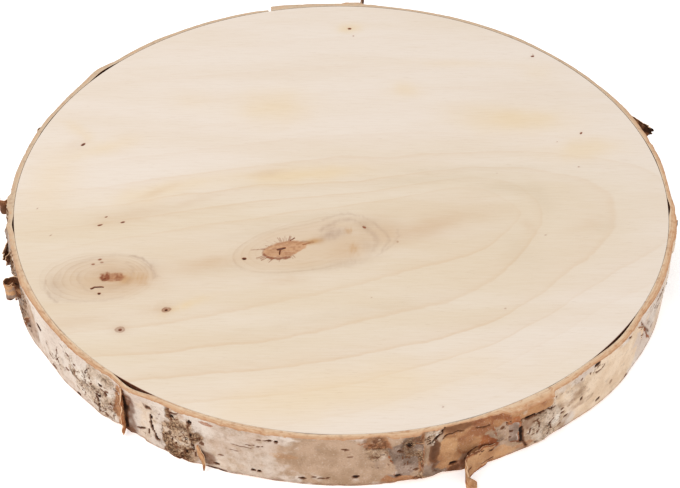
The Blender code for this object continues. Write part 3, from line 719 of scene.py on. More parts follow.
# Cracks, and painted shadows at the roots of torn layers and under lifted ones: half width, strength, then
# angle and height pairs.
CRACK_AND_SHADOW_LINES = [
    (0.40, 1.0, [(227.2, 21), (228.0, 19)]), (0.35, 0.9, [(228.4, 24.5), (228.0, 21.5)]),
    (0.45, 1.0, [(230.0, 13), (230.5, 10), (230.2, 5.5), (229.8, 2)]),
    (0.25, 0.8, [(230.0, 11.5), (229.0, 5.5)]), (0.30, 0.8, [(233.5, 22), (234.3, 20)]),
    (0.25, 0.7, [(231.3, 18.2), (232.2, 16.8)]), (0.40, 0.8, [(237.6, 4.8), (239, 6.3)]),
    (0.45, 1.0, [(240.5, 17), (240.4, 12.5), (240.8, 8.5), (241.5, 5)]),
    (0.25, 0.8, [(240, 8.5), (239.8, 5.5)]), (0.35, 0.8, [(242.2, 9.5), (243, 10.5)]),
    (0.35, 0.7, [(246.1, 2.5), (247, 3.5)]), (0.35, 0.8, [(247.8, 11.5), (248.3, 4.5)]),
    (0.18, 0.7, [(256, 18.6), (257.5, 19.4), (259, 19.5)]), (0.20, 0.8, [(265.9, 4.5), (268.4, 4.6)]),
    (0.18, 0.6, [(257.8, 23.1), (260, 23.1)]), (0.25, 0.4, [(254, 17), (257, 17.2)]),
    (0.40, 0.8, [(278.2, 20.2), (279.1, 19.6)]), (0.25, 0.5, [(279, 18), (279.3, 11)]),
    (0.22, 0.5, [(280, 17), (279.8, 12)]), (0.45, 1.0, [(285.3, 26.8), (285, 23), (284, 21), (283, 19.5)]),
    (0.35, 0.9, [(282.8, 23.5), (283, 21)]),
    (0.30, 0.9, [(285.4, 20.3), (286, 21.6), (286.8, 21.2), (287.5, 22.3), (288.5, 21.6)]),
    (0.30, 0.8, [(290.4, 21.4), (291.2, 20.6), (292.5, 20.9)]),
    # The first line here is painted shadow along the upper edge of the front curl.
    (0.30, 0.8, [(288.7, 4.5), (289.5, 7.5), (291, 9.8)]), (0.25, 0.8, [(295.3, 23.5), (295.4, 18.5)]),
    # These two lines are painted shadow down the right side of the grey flap.
    (0.75, 1.0, [(297.5, 20), (297.7, 14)]), (1.15, 1.0, [(297.7, 14), (297.9, 6.5)]),
    (0.45, 0.8, [(298.3, 6), (299.2, 1.5)]),
    # This line and the two on the next line are painted shadow under the folded lip.
    (0.75, 1.0, [(297.3, 19.6), (299, 18.8), (301.5, 19), (302.3, 21)]),
    (0.6, 1.0, [(302.3, 21), (303.8, 22.8)]), (0.40, 0.9, [(302.2, 19.2), (303.7, 18.3)]),
    (0.25, 0.7, [(303.8, 11.5), (303, 8.5), (303.6, 6), (302.8, 3)]),
    (0.22, 0.6, [(312, 22.5), (312.8, 21.2), (314.2, 21.6), (314.5, 23), (313.4, 24), (312.3, 23.6)]),
    (0.35, 0.8, [(320.7, 25.5), (321.5, 24.2)]),
    (0.40, 0.5, [(325.6, 24), (326.2, 21), (328.6, 12.5), (330.2, 8)]),
    (0.30, 0.7, [(300.6, 16), (301.2, 11), (300.9, 7)]),
    (0.28, 0.6, [(219.5, 18), (219.1, 12), (219.8, 8)]),
]

# Torn edges where the orange inner bark shows, in the same form.
TORN_EDGES = [
    (0.30, 1.0, [(272.5, 24.5), (274.5, 23.3), (276, 21), (276.8, 18), (277.5, 14), (277.8, 7)]),
    (0.45, 0.8, [(281.6, 26), (281.8, 20), (281.7, 12), (281.9, 3)]),
    (0.70, 0.9, [(235.4, 26.5), (235.0, 18), (234.8, 10), (235.1, 1)]),
    (0.35, 0.9, [(292.8, 26.8), (292.8, 22.5), (293.5, 16.5), (294.2, 12.5), (294.3, 7.5)]),
    (0.50, 1.0, [(324.8, 26.6), (326.0, 21), (328, 13), (329, 8), (330.6, 3)]),
    (0.30, 0.6, [(256, 17.4), (257.5, 18.2), (259, 18.3)]),
    (0.60, 0.8, [(295.6, 26.8), (296.3, 22), (296.8, 18)]),
    (0.50, 0.6, [(249.5, 26.4), (246, 25.9), (243, 26.6)]),
    (0.45, 0.6, [(284.8, 19), (285.0, 12), (285.4, 8)]),
    (0.50, 0.7, [(288, 26.8), (292, 26.2), (295, 26.8)]), (0.30, 0.6, [(250, 6), (249.6, 2)]),
]

# Where each kind of surface shows: angle, height, half width in degrees, half height, strength.
SURFACES = {
    "wash": [(268, 14, 6.5, 17, 1.0), (275, 12, 4.4, 16, 1.0), (271, 22, 6, 9, 0.8), (256, 12, 8, 20, 0.5),
             (246, 12, 3.2, 16, 0.7), (208.5, 12, 4.5, 12, 0.7), (290, 13, 15, 22, 1.0),
             (217, 4, 9, 5, 0.4)],
    "peach": [(315.5, 13, 10.0, 19, 1.0), (303, 10, 5, 14, 0.7), (355, 12, 7, 14, 0.6), (338, 5, 6, 8, 0.5),
              (239.6, 13, 1.8, 16, 0.5), (252, 5, 4, 4, 0.4)],
    "grey": [(279.5, 15, 2.2, 14, 1.0), (284.6, 4.5, 2.8, 4, 0.7), (209, 7, 5, 9, 0.5),
             (203, 13, 4, 14, 0.6), (191, 13, 9, 20, 0.65), (195, 12, 5, 14, 0.65),
             (295.2, 16, 2.2, 10, 0.42), (241, 5, 3, 5, 0.3), (332, 15, 5, 8, 0.3), (276, 14, 1.6, 7, 0.4)],
    "crackle": [(229.4, 14, 4.6, 14, 1.0), (302.6, 10, 3.2, 11, 0.75), (308.0, 19, 3.2, 8, 0.2),
                (219.5, 10, 3, 6, 0.5), (189, 10, 3, 8, 0.6), (283.6, 24.8, 1.1, 2.4, 0.8),
                (334, 17, 4, 6, 0.25), (223.8, 20, 2, 6, 0.4), (241.4, 21, 1.8, 6, 0.35)],
    "lichen": [(245.6, 12, 3.2, 15, 0.95), (275.4, 21, 1.5, 7, 0.6), (223.8, 14.3, 1.5, 2.6, 0.5),
               (280.4, 21, 1.6, 6, 0.5), (200, 12, 5, 16, 0.8), (189, 14, 6, 16, 0.8),
               (206.5, 16, 1.6, 12, 0.5), (232.8, 6, 1.0, 6, 0.4), (283.4, 21.5, 1.0, 3, 0.6)],
    "gold": [(286.6, 13, 2.1, 8, 1.0), (261.5, 15.4, 2.2, 1.6, 0.45), (294.6, 3.6, 3.4, 5, 0.8),
             (299.6, 24, 2.4, 4, 0.5)],
    "tan": [(234.3, 11, 1.0, 14, 0.85), (235.5, 11, 0.5, 14, 0.6), (290.2, 15, 2.8, 8, 1.0),
            (287.4, 25, 2.8, 4.8, 1.0), (279, 2.4, 2.6, 3.0, 0.8), (284.6, 9, 2, 5, 0.4),
            (299.7, 25, 2.9, 5.0, 1.0), (298.6, 2.6, 2, 2.6, 0.6), (292, 24.6, 3.6, 4.6, 1.0),
            (281.9, 13, 0.6, 16, 0.7), (275.6, 23.5, 1.8, 4, 0.7), (296.6, 25, 1.6, 4.4, 0.9)],
    "orange": [(292.3, 11, 1.5, 7, 0.9), (291.9, 25.6, 3.4, 3.0, 0.5), (235.9, 20, 0.6, 5, 0.5),
               (250.2, 24.8, 1.1, 0.9, 0.7), (296.3, 21.4, 0.8, 4, 0.85), (299.4, 25.6, 2.4, 2.6, 0.3),
               (287.2, 3.4, 1.6, 3, 0.5), (274.6, 22.4, 1.3, 2.4, 0.4)],
    # The dark kind is dark bark, with painted shadow in the recess beside the rolled edge at 235 to 236
    # degrees and beside and under the small tongue at 250 to 251 degrees.
    "dark": [(235.6, 10, 0.42, 11, 0.8), (236.0, 9, 1.25, 18, 0.31), (284.0, 13.5, 0.95, 7, 0.62),
             (250.0, 5.5, 1.5, 4, 0.3), (287.2, 2.2, 0.9, 1.5, 0.45), (288.9, 4, 0.8, 5, 0.3),
             (251.2, 0.2, 1.4, 0.6, 0.7), (299.0, 16, 0.9, 5, 0.25), (287.3, 24.6, 2.0, 3.4, 0.34),
             (275.2, 25.4, 1.8, 1.6, 0.25), (281, 24, 0.9, 3, 0.3)],
}
SOFT_EDGES = {"wash": 0.9, "peach": 0.8, "grey": 0.45, "crackle": 0.5, "lichen": 0.45, "gold": 0.3,
              "tan": 0.3, "orange": 0.3, "dark": 0.8}

# The back of the strip, from seeded draws: its plates, and how many patches of each kind it has, with
# the ranges of their half width in degrees, half height in mm and strength.
BACK_SEED = 11
BACK_START = 342
BACK_END = 542
BACK_PLATES = 16
BACK_PLATES_START = 20
BACK_PLATES_SPAN = 150
BACK_SPOTS = 90
BACK_TEARS = 9
BACK_SURFACES = [
    ("wash", 8, (5, 12), (8, 16), (0.5, 1)), ("grey", 14, (2, 6), (3, 9), (0.3, 0.8)),
    ("crackle", 9, (2, 5), (5, 12), (0.6, 1)), ("lichen", 9, (1.5, 4), (4, 12), (0.5, 1)),
    ("tan", 10, (1.5, 5), (3, 9), (0.45, 0.9)), ("peach", 9, (5, 11), (6, 16), (0.4, 0.9)),
    ("orange", 6, (1, 2.6), (2, 6), (0.35, 0.65)),
]


def across_seam(angle, middle):
    """The signed way from one angle to another, within half a turn."""
    return (angle - middle + 180) % 360 - 180


def back_plates():
    """Plates for the back of the strip, from seeded draws."""
    draw = random.Random(BACK_SEED)
    plates = []
    for number in range(BACK_PLATES):
        angle = BACK_PLATES_START + BACK_PLATES_SPAN / BACK_PLATES * number + draw.uniform(-3, 3)
        height = draw.uniform(4, 16)
        half_width = draw.uniform(2.2, 5.0)
        half_height = draw.uniform(4, 8)
        plates.append((angle, height, half_width, half_height, draw.choice([-0.5, 0.5, 0.8, 1.1])))
    return plates


def plate_rise(angle, height):
    """How far the bark's face stands off its mean surface."""
    total = 0
    for size, count, climb, phase in FACE_WAVES:
        total = total + size * np.sin(np.radians(angle * count) + height / climb + phase)
    for plate_angle, plate_height, half_width, half_height, rise in PLATES + back_plates():
        sideways = across_seam(angle, plate_angle) / half_width
        up = (height - plate_height) / half_height
        reach = (sideways ** 4 + up ** 4) ** 0.25 + 0.12 * rough(angle * MM_A_DEGREE, height, 3.5, 80, 3)
        total = total + rise * ease((1 - reach) / PLATE_EDGE + 0.5)
    return total


def loose_gap(angle, height, places=LOOSE_PLACES):
    """How far the strip has come away from the wood, most at the top edge."""
    gap = 0
    for middle, half_width, width in places:
        gap = gap + width * ease(1 - np.abs(across_seam(angle, middle)) / half_width)
    return gap * ease(1 - (THICKNESS - height) / LOOSE_DEPTH)


def bark_thickness(angle):
    """Thickness of the strip."""
    return between(BARK_THICKNESS, np.where(angle < SEAM_THIN_END, angle + 360, angle))


def foot_height(angle):
    """The lower edge of the strip, a little ragged."""
    wave = sum(np.sin(np.radians(angle * count + phase)) for count, phase in FOOT_WAVES)
    chip = FOOT_CHIP[2] * ease(1 - np.abs(across_seam(angle, FOOT_CHIP[0])) / FOOT_CHIP[1])
    fray = 0.25 * ease(rough(angle * MM_A_DEGREE, angle * 0, 3, 90, 3))
    return np.maximum(0, FOOT_WAVE_HEIGHT * (wave - FOOT_WAVE_LEVEL)) + chip + fray


def bark_radius(angle, height):
    """Radius of the bark face without its fine relief."""
    thickness = bark_thickness(angle)
    flare = FOOT_FLARE * (1 - height / THICKNESS)
    relief = plate_rise(angle, height) * ease(thickness - 1)
    return WOOD_RADIUS + GLUE_GAP + loose_gap(angle, height) + np.maximum(0.7, thickness + flare + relief)


def line_mask(angle, height, lines, seed):
    """Ragged strokes along lists of angles and heights."""
    laid_out = [(half_width, strength, [(place[0] * MM_A_DEGREE, place[1]) for place in places])
                for half_width, strength, places in lines]
    return strokes(angle * MM_A_DEGREE, height, laid_out, seed)


def surface_mask(angle, height, places, soft, seed):
    """Ragged patches where one kind of surface shows."""
    along, total = angle * MM_A_DEGREE, np.zeros_like(angle)
    edge = rough(along / 1.5, height, 5, seed, 5)
    for middle, level, half_width, half_height, strength in places:
        reach = np.hypot(across_seam(angle, middle) / half_width, (height - level) / half_height)
        total = np.maximum(total, strength * ease((1.0 + soft / 2 - reach + 0.62 * edge) / soft))
    return total


def spot_mask(angle, height, spots):
    """Lens-shaped dark marks."""
    total = np.zeros_like(angle)
    blur = 0.35 * rough(angle * MM_A_DEGREE, height, 1.2, 130, 2)
    for middle, level, half_length, half_height, strength in spots:
        sideways = across_seam(angle, middle) * MM_A_DEGREE / half_length
        reach = np.hypot(sideways, (height - level) / half_height)
        total = np.maximum(total, strength * ease((1.4 - reach + blur) / 0.55))
    return total


draw = np.random.default_rng(BACK_SEED)
for name, count, wide, tall, strong in BACK_SURFACES:
    for number in range(count):
        middle = BACK_START + (BACK_END - BACK_START) * (number + draw.uniform(0.1, 0.9)) / count
        SURFACES[name].append((middle % 360, draw.uniform(2, 24), draw.uniform(*wide), draw.uniform(*tall),
                               draw.uniform(*strong)))
back_spots = []
for number in range(BACK_SPOTS):
    middle = BACK_START + (BACK_END - BACK_START) * draw.uniform(0, 1)
    back_spots.append((middle % 360, draw.uniform(2, 25), draw.uniform(0.8, 3.2), draw.uniform(0.35, 0.8),
                       draw.uniform(0.4, 1)))
for number in range(BACK_TEARS):
    middle = BACK_START + (BACK_END - BACK_START) * (number + draw.uniform(0.1, 0.9)) / BACK_TEARS
    level, lean = draw.uniform(8, 22), draw.uniform(-2, 2)
    CRACK_AND_SHADOW_LINES.append((draw.uniform(0.3, 0.6), 0.9, [(middle, level), (middle + lean * 0.4, level - 4),
                                                 (middle + lean, max(2, level - 9))]))
    TORN_EDGES.append((0.5, 0.8, [(middle + 6, 26), (middle + 6 + lean, 17), (middle + 5, 6)]))

profile = [(1, row / FACE_ROWS) for row in range(FACE_ROWS + 1)]
profile += [(1 - row / RIM_ROWS, 1) for row in range(1, RIM_ROWS + 1)]
profile += [(0, 1 - row / BACK_ROWS) for row in range(1, BACK_ROWS + 1)]
profile += [(row / FOOT_ROWS, 0) for row in range(1, FOOT_ROWS)]
depth, share = np.array(profile, dtype=float).T
counted = np.linspace(SEAM_THIN_END, 360 + SEAM_THICK_END, STRIP_COLUMNS + 1)
angle, depth = np.meshgrid(counted, depth, indexing="ij")
share = np.broadcast_to(share, angle.shape)
around = angle * MM_A_DEGREE
foot = foot_height(angle)
front = ease((105 - np.abs(across_seam(angle, 265))) / 20)
chips = ease(rough(around, angle * 0, 2.2, 95, 3) * 1.6 - 0.35) * (0.15 + 0.55 * front)
crown = THICKNESS - chips * ease((depth - 0.35) / 0.6)
height = foot + (crown - foot) * share
masks = {name: surface_mask(angle, height, places, SOFT_EDGES[name], 140 + 10 * index)
         for index, (name, places) in enumerate(SURFACES.items())}
edges = line_mask(angle, height, TORN_EDGES, 210)
edges = edges * ease(0.5 + 0.9 * rough(around, height, 3.2, 216, 3))
crack_and_shadow_lines = line_mask(angle, height, CRACK_AND_SHADOW_LINES, 230)
spots = spot_mask(angle, height, SPOTS + back_spots)
broken = np.maximum(masks["crackle"], masks["lichen"])
wide_crack = ease((0.12 - np.abs(rough(around / 1.2, height, 4.2, 250, 3))) / 0.09)
fine_crack = ease((0.10 - np.abs(rough(around, height, 2.1, 254, 2))) / 0.08) * masks["lichen"]
crazing = broken * np.maximum(wide_crack * ease(0.6 + lumps(around, height, 5, 258)), fine_crack)
masks["orange"] = np.maximum(masks["orange"], edges)
# Painted contact shade darkens the strip towards its foot.
shade = 0.22 * ease((2.8 - height) / 2.6)
masks["dark"] = np.clip(np.maximum(masks["dark"], np.maximum(crack_and_shadow_lines, spots)) + 0.85 * crazing + shade, 0, 1)
relief = -0.45 * masks["tan"] * (1 - masks["orange"]) + 0.35 * edges - 0.75 * crack_and_shadow_lines - 0.5 * spots
relief = relief + broken * (0.42 * rough(around, height, 3.0, 260, 4) - 0.55 * crazing + 0.25)
relief = relief + 0.10 * rough(around / 3, height, 2.4, 270, 4) + 0.25 * rough(around, height, 14, 280, 2)
relief = relief + 0.22 * masks["grey"] * rough(around / 3, height, 1.7, 290, 3)
relief = relief * ease(bark_thickness(angle) - 0.8)
face = bark_radius(angle % 360, height) + relief
back = WOOD_RADIUS + HAIRLINE + loose_gap(angle % 360, height, LOOSE_PLACES + HAIRLINE_PLACES)
face = np.maximum(face, back + 0.6)
radius = back + (face - back) * depth
strip_points = np.stack([radius * np.cos(np.radians(angle)), radius * np.sin(np.radians(angle)), height], 2)


def ring_faces(columns, rows):
    """Quads of a closed tube whose sections run round and whose length is open."""
    column, row = np.meshgrid(np.arange(columns - 1), np.arange(rows), indexing="ij")
    after = (row + 1) % rows
    quads = np.stack([column * rows + row, (column + 1) * rows + row,
                      (column + 1) * rows + after, column * rows + after], 2)
    return quads.reshape(-1, 4)


rows = len(profile)
points = strip_points.reshape(-1, 3) * MM
quads = ring_faces(STRIP_COLUMNS + 1, rows)
ends = np.stack([points[:rows].mean(0), points[-rows:].mean(0)])
cap_one = [(len(points), row, (row + 1) % rows) for row in range(rows)]
last = len(points) - rows
cap_two = [(len(points) + 1, last + (row + 1) % rows, last + row) for row in range(rows)]
strip = bpy.data.meshes.new("bark_strip")
strip.from_pydata(np.vstack([points, ends]).tolist(), [], quads.tolist() + cap_one + cap_two)
set_values(strip, {name: np.append(values.reshape(-1), [0, 0]) for name, values in masks.items()})
bare = np.maximum(masks["tan"], np.maximum(masks["gold"], masks["orange"]))
flaky = np.clip(masks["lichen"] + 0.45 * masks["crackle"] + 0.25 * masks["grey"], 0, 1) * (1 - bare)
flaky = flaky * (depth > 0.99) * ease((height - 1.2) / 1.5) * ease((25.6 - height) / 1.5)
pallor = ease((105 - np.abs(across_seam(angle, 110))) / 30)
for name, values in (("depth", depth), ("flaky", flaky), ("around", around), ("pallor", pallor)):
    set_values(strip, {name: np.append(values.reshape(-1), [0, 0])})
row_number = np.tile(np.arange(rows), STRIP_COLUMNS)
finish = np.where(row_number < FACE_ROWS, 0, np.where(row_number < FACE_ROWS + RIM_ROWS, 1, 2))
finish = np.where(row_number >= FACE_ROWS + RIM_ROWS + BACK_ROWS, 1, finish)
finish = np.append(finish, np.ones(2 * rows))
strip.polygons.foreach_set("material_index", finish.astype(np.int32))
strip.shade_smooth()
strip.set_sharp_from_angle(angle=math.radians(60))

# Birch bark: papery and matt. Each torn layer is a warmer brown, old crust is cracked into bits of
# 2 mm with dark seams and painted highlights and shade on its fine relief, and marks and painted shadows burn
# from brown at their edge to black.

# Layers: kind, how ragged its edge is, its pale and its deep colour.
BARK_LAYERS = [
    ("peach", 0.25, "E9D0B5", "DCBFA1"), ("wash", 0.3, "BF9F85", "AA8A6E"),
    ("grey", 0.35, "A88E7D", "7D6555"), ("crackle", 0.5, "E4D2C0", "C4A88E"),
    ("lichen", 0.5, "CDAB8B", "9C7858"), ("gold", 0.3, "CC9C70", "B3825A"),
    ("tan", 0.35, "BA885E", "9C6644"), ("orange", 0.4, "AE6C42", "84492A"),
]
bark, tree, shader = new_material("birch_bark_peeled", 0.75)
spot = add(tree, "ShaderNodeTexCoord").outputs["Object"]
fine, mottle, cloud, blotch = (
    add(tree, "ShaderNodeTexNoise", None, {"Vector": spot, "Scale": scale, "Detail": detail}).outputs["Fac"]
    for scale, detail in ((1400, 4), (300, 5), (60, 4), (140, 6)))
streak_place = add(tree, "ShaderNodeMapping", None, {"Vector": spot, "Scale": (160, 160, 1400)}).outputs[0]
streak = add(tree, "ShaderNodeTexNoise", None, {
    "Vector": streak_place, "Scale": 1, "Detail": 4}).outputs["Fac"]
warp = add(tree, "ShaderNodeTexNoise", None, {"Vector": spot, "Scale": 420, "Detail": 3}).outputs["Color"]
crust_place = add(tree, "ShaderNodeVectorMath", {"operation": "MULTIPLY_ADD"}, {
    0: warp, 1: (0.0022, 0.0022, 0.0022), 2: spot}).outputs[0]
seams = add(tree, "ShaderNodeTexVoronoi", {"feature": "DISTANCE_TO_EDGE"}, {
    "Vector": crust_place, "Scale": 520}).outputs["Distance"]
seam = add(tree, "ShaderNodeMapRange", {"interpolation_type": "SMOOTHSTEP"}, {
    "Value": seams, "From Min": 0.03, "From Max": 0.16, "To Min": 1, "To Max": 0}).outputs[0]
layer = {kind: add(tree, "ShaderNodeAttribute", {"attribute_name": kind}).outputs["Fac"] for kind in SURFACES}
crust = add(tree, "ShaderNodeMath", {"operation": "MAXIMUM"}, {
    0: layer["crackle"], 1: layer["lichen"]}).outputs[0]
crust_seam, lichen_seam, crackle_seam = (
    add(tree, "ShaderNodeMath", {"operation": "MULTIPLY"}, {0: where, 1: seam}).outputs[0]
    for where in (crust, layer["lichen"], layer["crackle"]))
mark_depth = add(tree, "ShaderNodeMath", {"operation": "MULTIPLY"}, {0: layer["dark"], 1: 1.2}).outputs[0]
mark = add(tree, "ShaderNodeMath", {"operation": "MULTIPLY_ADD"}, {
    0: mottle, 1: 0.4, 2: mark_depth}).outputs[0]
colour = laid_over(tree, linear("E1D2C4"), linear("D4BFAF"), cloud, 0.35, 0.65, 1)
colour = laid_over(tree, colour, linear("A88E7E"), streak, 0.54, 0.72, 0.28)
for name, spread, pale, deep in BARK_LAYERS:
    shake = add(tree, "ShaderNodeMapRange", None, {
        "Value": mottle, "From Min": 0.3, "From Max": 0.7,
        "To Min": -spread / 2, "To Max": spread / 2}).outputs[0]
    torn = add(tree, "ShaderNodeMath", {"operation": "ADD"}, {0: layer[name], 1: shake}).outputs[0]
    tone = laid_over(tree, linear(pale), linear(deep), blotch, 0.36, 0.64, 1)
    colour = laid_over(tree, colour, tone, torn, 0.15, 0.85, 1)

# Fine fibres, then the old crust's pale and dark bits, painted highlights and shade for its fine relief, and
# its seams, and last the dark marks and painted shadows.
for source, low, high, most, where, code in (
        (fine, 0.56, 0.72, 0.26, 1, "705646"), (fine, 0.44, 0.28, 0.20, 1, "F4E8DE"),
        (mottle, 0.56, 0.74, 0.22, 1, "7C6454"), (blotch, 0.48, 0.34, 0.6, crust, "EFE3D5"),
        (mottle, 0.52, 0.68, 0.5, layer["lichen"], "5E4433"),
        (mottle, 0.56, 0.70, 0.3, layer["crackle"], "6B5240"),
        (blotch, 0.40, 0.56, 0.85, lichen_seam, "4A2F1D"), (blotch, 0.50, 0.62, 0.5, crackle_seam, "4A3323"),
        (mark, 0.25, 0.70, 0.92, 1, "74492F"), (mark, 0.72, 1.3, 0.96, 1, "24130B")):
    colour = laid_over(tree, colour, linear(code), source, low, high, most, where)
tree.links.new(colour, shader.inputs["Base Color"])

# The relief too fine for the mesh: fibres, and seams sunk into the crust.
grain = add(tree, "ShaderNodeMath", {"operation": "ADD"}, {0: mottle, 1: fine}).outputs[0]
cut = add(tree, "ShaderNodeMath", {"operation": "MULTIPLY_ADD"}, {
    0: crust_seam, 1: -1.2, 2: grain}).outputs[0]
bump = add(tree, "ShaderNodeBump", None, {"Height": cut, "Strength": 0.6, "Distance": 0.0003}).outputs[0]
tree.links.new(bump, shader.inputs["Normal"])

# The sawn edge of the strip: corky, pale next to the wood and tan outside, in thin layers that
# follow the rim, 0.35 mm each. It is paler at the back.
sawn_bark, tree, shader = new_material("birch_bark_sawn_edge", 0.75)
spot = add(tree, "ShaderNodeTexCoord").outputs["Object"]
through, along, pallor = (add(tree, "ShaderNodeAttribute", {"attribute_name": name}).outputs["Fac"]
                          for name in ("depth", "around", "pallor"))
wander = add(tree, "ShaderNodeTexNoise", None, {"Vector": spot, "Scale": 22, "Detail": 2}).outputs["Fac"]
layer_at = add(tree, "ShaderNodeMath", {"operation": "MULTIPLY_ADD"}, {
    0: wander, 1: 0.6, 2: through}).outputs[0]
along_place = add(tree, "ShaderNodeCombineXYZ", None, {"X": layer_at, "Y": along}).outputs[0]
lines = []
for scale, detail in (((7, 0.03, 1), 3), ((3, 0.35, 1), 5)):
    place = add(tree, "ShaderNodeMapping", None, {"Vector": along_place, "Scale": scale}).outputs[0]
    lines.append(add(tree, "ShaderNodeTexNoise", None, {
        "Vector": place, "Scale": 1, "Detail": detail}).outputs["Fac"])
thin, drawn_out = lines
mottle = add(tree, "ShaderNodeTexNoise", None, {"Vector": spot, "Scale": 420, "Detail": 4}).outputs["Fac"]
colour = laid_over(tree, linear("E5C8A8"), linear("DDB48E"), through, 0.1, 0.6, 1)
for source, low, high, most, where, code in (
        (through, 0.6, 1.0, 1, 1, "C99772"), (thin, 0.5, 0.66, 0.5, 1, "B98560"),
        (drawn_out, 0.52, 0.70, 0.55, 1, "B97A50"), (drawn_out, 0.46, 0.30, 0.45, 1, "EED5B6"),
        (mottle, 0.2, 0.6, 0.8, pallor, "D4BDA2"), (mottle, 0.54, 0.72, 0.3, 1, "9A6A48")):
    colour = laid_over(tree, colour, linear(code), source, low, high, most, where)
tree.links.new(colour, shader.inputs["Base Color"])
bump = add(tree, "ShaderNodeBump", None, {"Height": mottle, "Strength": 0.4, "Distance": 0.0002}).outputs[0]
tree.links.new(bump, shader.inputs["Normal"])

# The glued face of the strip: brown cork, darkened with painted shade, seen only in the gaps.
glued_bark, tree, shader = new_material("birch_bark_glued_face", 0.8)
spot = add(tree, "ShaderNodeTexCoord").outputs["Object"]
mottle = add(tree, "ShaderNodeTexNoise", None, {"Vector": spot, "Scale": 500, "Detail": 4}).outputs["Fac"]
colour = laid_over(tree, linear("42200E"), linear("683A20"), mottle, 0, 1, 1, easing="LINEAR")
tree.links.new(colour, shader.inputs["Base Color"])
for material in (bark, sawn_bark, glued_bark):
    strip.materials.append(material)
strip_piece = new_piece("bark_strip", strip)
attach(strip_piece, "root")
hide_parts("bark_band")


# The torn sheets
# Layers of the same bark that have peeled loose and curl away, 0.6 mm thick. Each grows out of the
# strip, so its root lies inside it. White or grey outside, tan to orange inside.
SHEET_ROOT_DEPTH = 1.3
SHEET_THICKNESS = 0.62
SHEET_INSET = 0.3
SHEET_AREA_A_SPOT = 26
SHEET_EDGE_DEPTHS = [0.8, 0.3]

# Each runs round the slice from its root angle, anticlockwise unless way is -1, leaves at lift degrees
# and turns through turn degrees by its tip, the later the higher bend is. Its foot leans out by lean
# at the tip, slant is how much shorter its top edge is, and its lower and upper edges run from the
# first height at the root to the second at the tip.
SHEET_SHARED = dict(way=1, lean=0, slant=0)
SHEETS = {
    "dark_knob": dict(root=184.0, length=9, lift=32, turn=215, bend=1.6, low=(17.5, 18), high=(26.6, 24)),
    "left_flake": dict(root=193.4, length=9, lift=16, turn=30, bend=1.5, low=(14, 16), high=(25, 21)),
    "left_low_flake": dict(root=198.6, length=9, lift=14, turn=25, bend=1.4, low=(3, 5), high=(14, 11)),
    "left_scroll": dict(root=206.0, way=-1, length=17, lift=18, turn=315, bend=1.7,
                        low=(12, 19.5), high=(26.7, 26.6)),
    "left_edge": dict(root=234.0, length=7.4, lift=12, turn=85, bend=1.8, lean=1.5,
                      low=(0.5, 0.2), high=(26.8, 26.2)),
    "small_tongue": dict(root=247.8, length=7, lift=22, turn=20, bend=1.5, lean=1.5,
                         low=(8, 0.6), high=(15, 5)),
    "grey_ridge": dict(root=280.4, length=5, lift=10, turn=16, bend=1.6, low=(2.5, 1.5), high=(25, 23)),
    "front_curl": dict(root=295.4, way=-1, length=30, lift=10, turn=320, bend=6, lean=4.5, slant=0.16,
                       low=(1.2, 0.2), high=(9.5, 12.5)),
    "grey_flap": dict(root=292.4, length=14, lift=7, turn=14, bend=1.5, low=(9.5, 7), high=(19, 20)),
    "torn_edge": dict(root=323.5, length=9, lift=4, turn=4, bend=2.0, low=(7, 3), high=(25.5, 18)),
    "right_flake": dict(root=347.6, length=16, lift=9, turn=8, bend=2.0, low=(9, 12), high=(24.5, 21)),
    "right_flag": dict(root=24.0, way=-1, length=24, lift=7, turn=68, bend=6,
                       low=(8, 14), high=(26.2, 26.7)),
    "right_low_curl": dict(root=36, way=-1, length=17, lift=14, turn=200, bend=2.4,
                           low=(1, 2.5), high=(13, 11)),
    "rear_scroll": dict(root=48, length=20, lift=13, turn=285, bend=2.6, low=(0.8, 2), high=(19, 17.5)),
    "rear_flake": dict(root=66, way=-1, length=12, lift=12, turn=26, bend=1.5, low=(5, 7), high=(20, 17)),
    "rear_tuft": dict(root=84.4, length=12, lift=20, turn=120, bend=1.4, low=(17, 19), high=(26.75, 26.75)),
    "rear_low_edge": dict(root=124, way=-1, length=14, lift=10, turn=60, bend=2.2, lean=1,
                          low=(0.8, 0.4), high=(15, 14)),
    "rear_left_curl": dict(root=158, length=19, lift=12, turn=240, bend=2.6, low=(1.5, 3), high=(17, 15)),
    "left_scale_upper": dict(root=197.2, length=5, lift=32, turn=40, bend=1.3,
                             low=(17, 19), high=(25.5, 23.5)),
    "left_scale_middle": dict(root=202.4, length=4.5, lift=36, turn=30, bend=1.3,
                              low=(8, 10), high=(16, 14)),
    "left_scale_lower": dict(root=209.8, way=-1, length=4.5, lift=30, turn=50, bend=1.4,
                             low=(5, 8), high=(14, 12)),
}

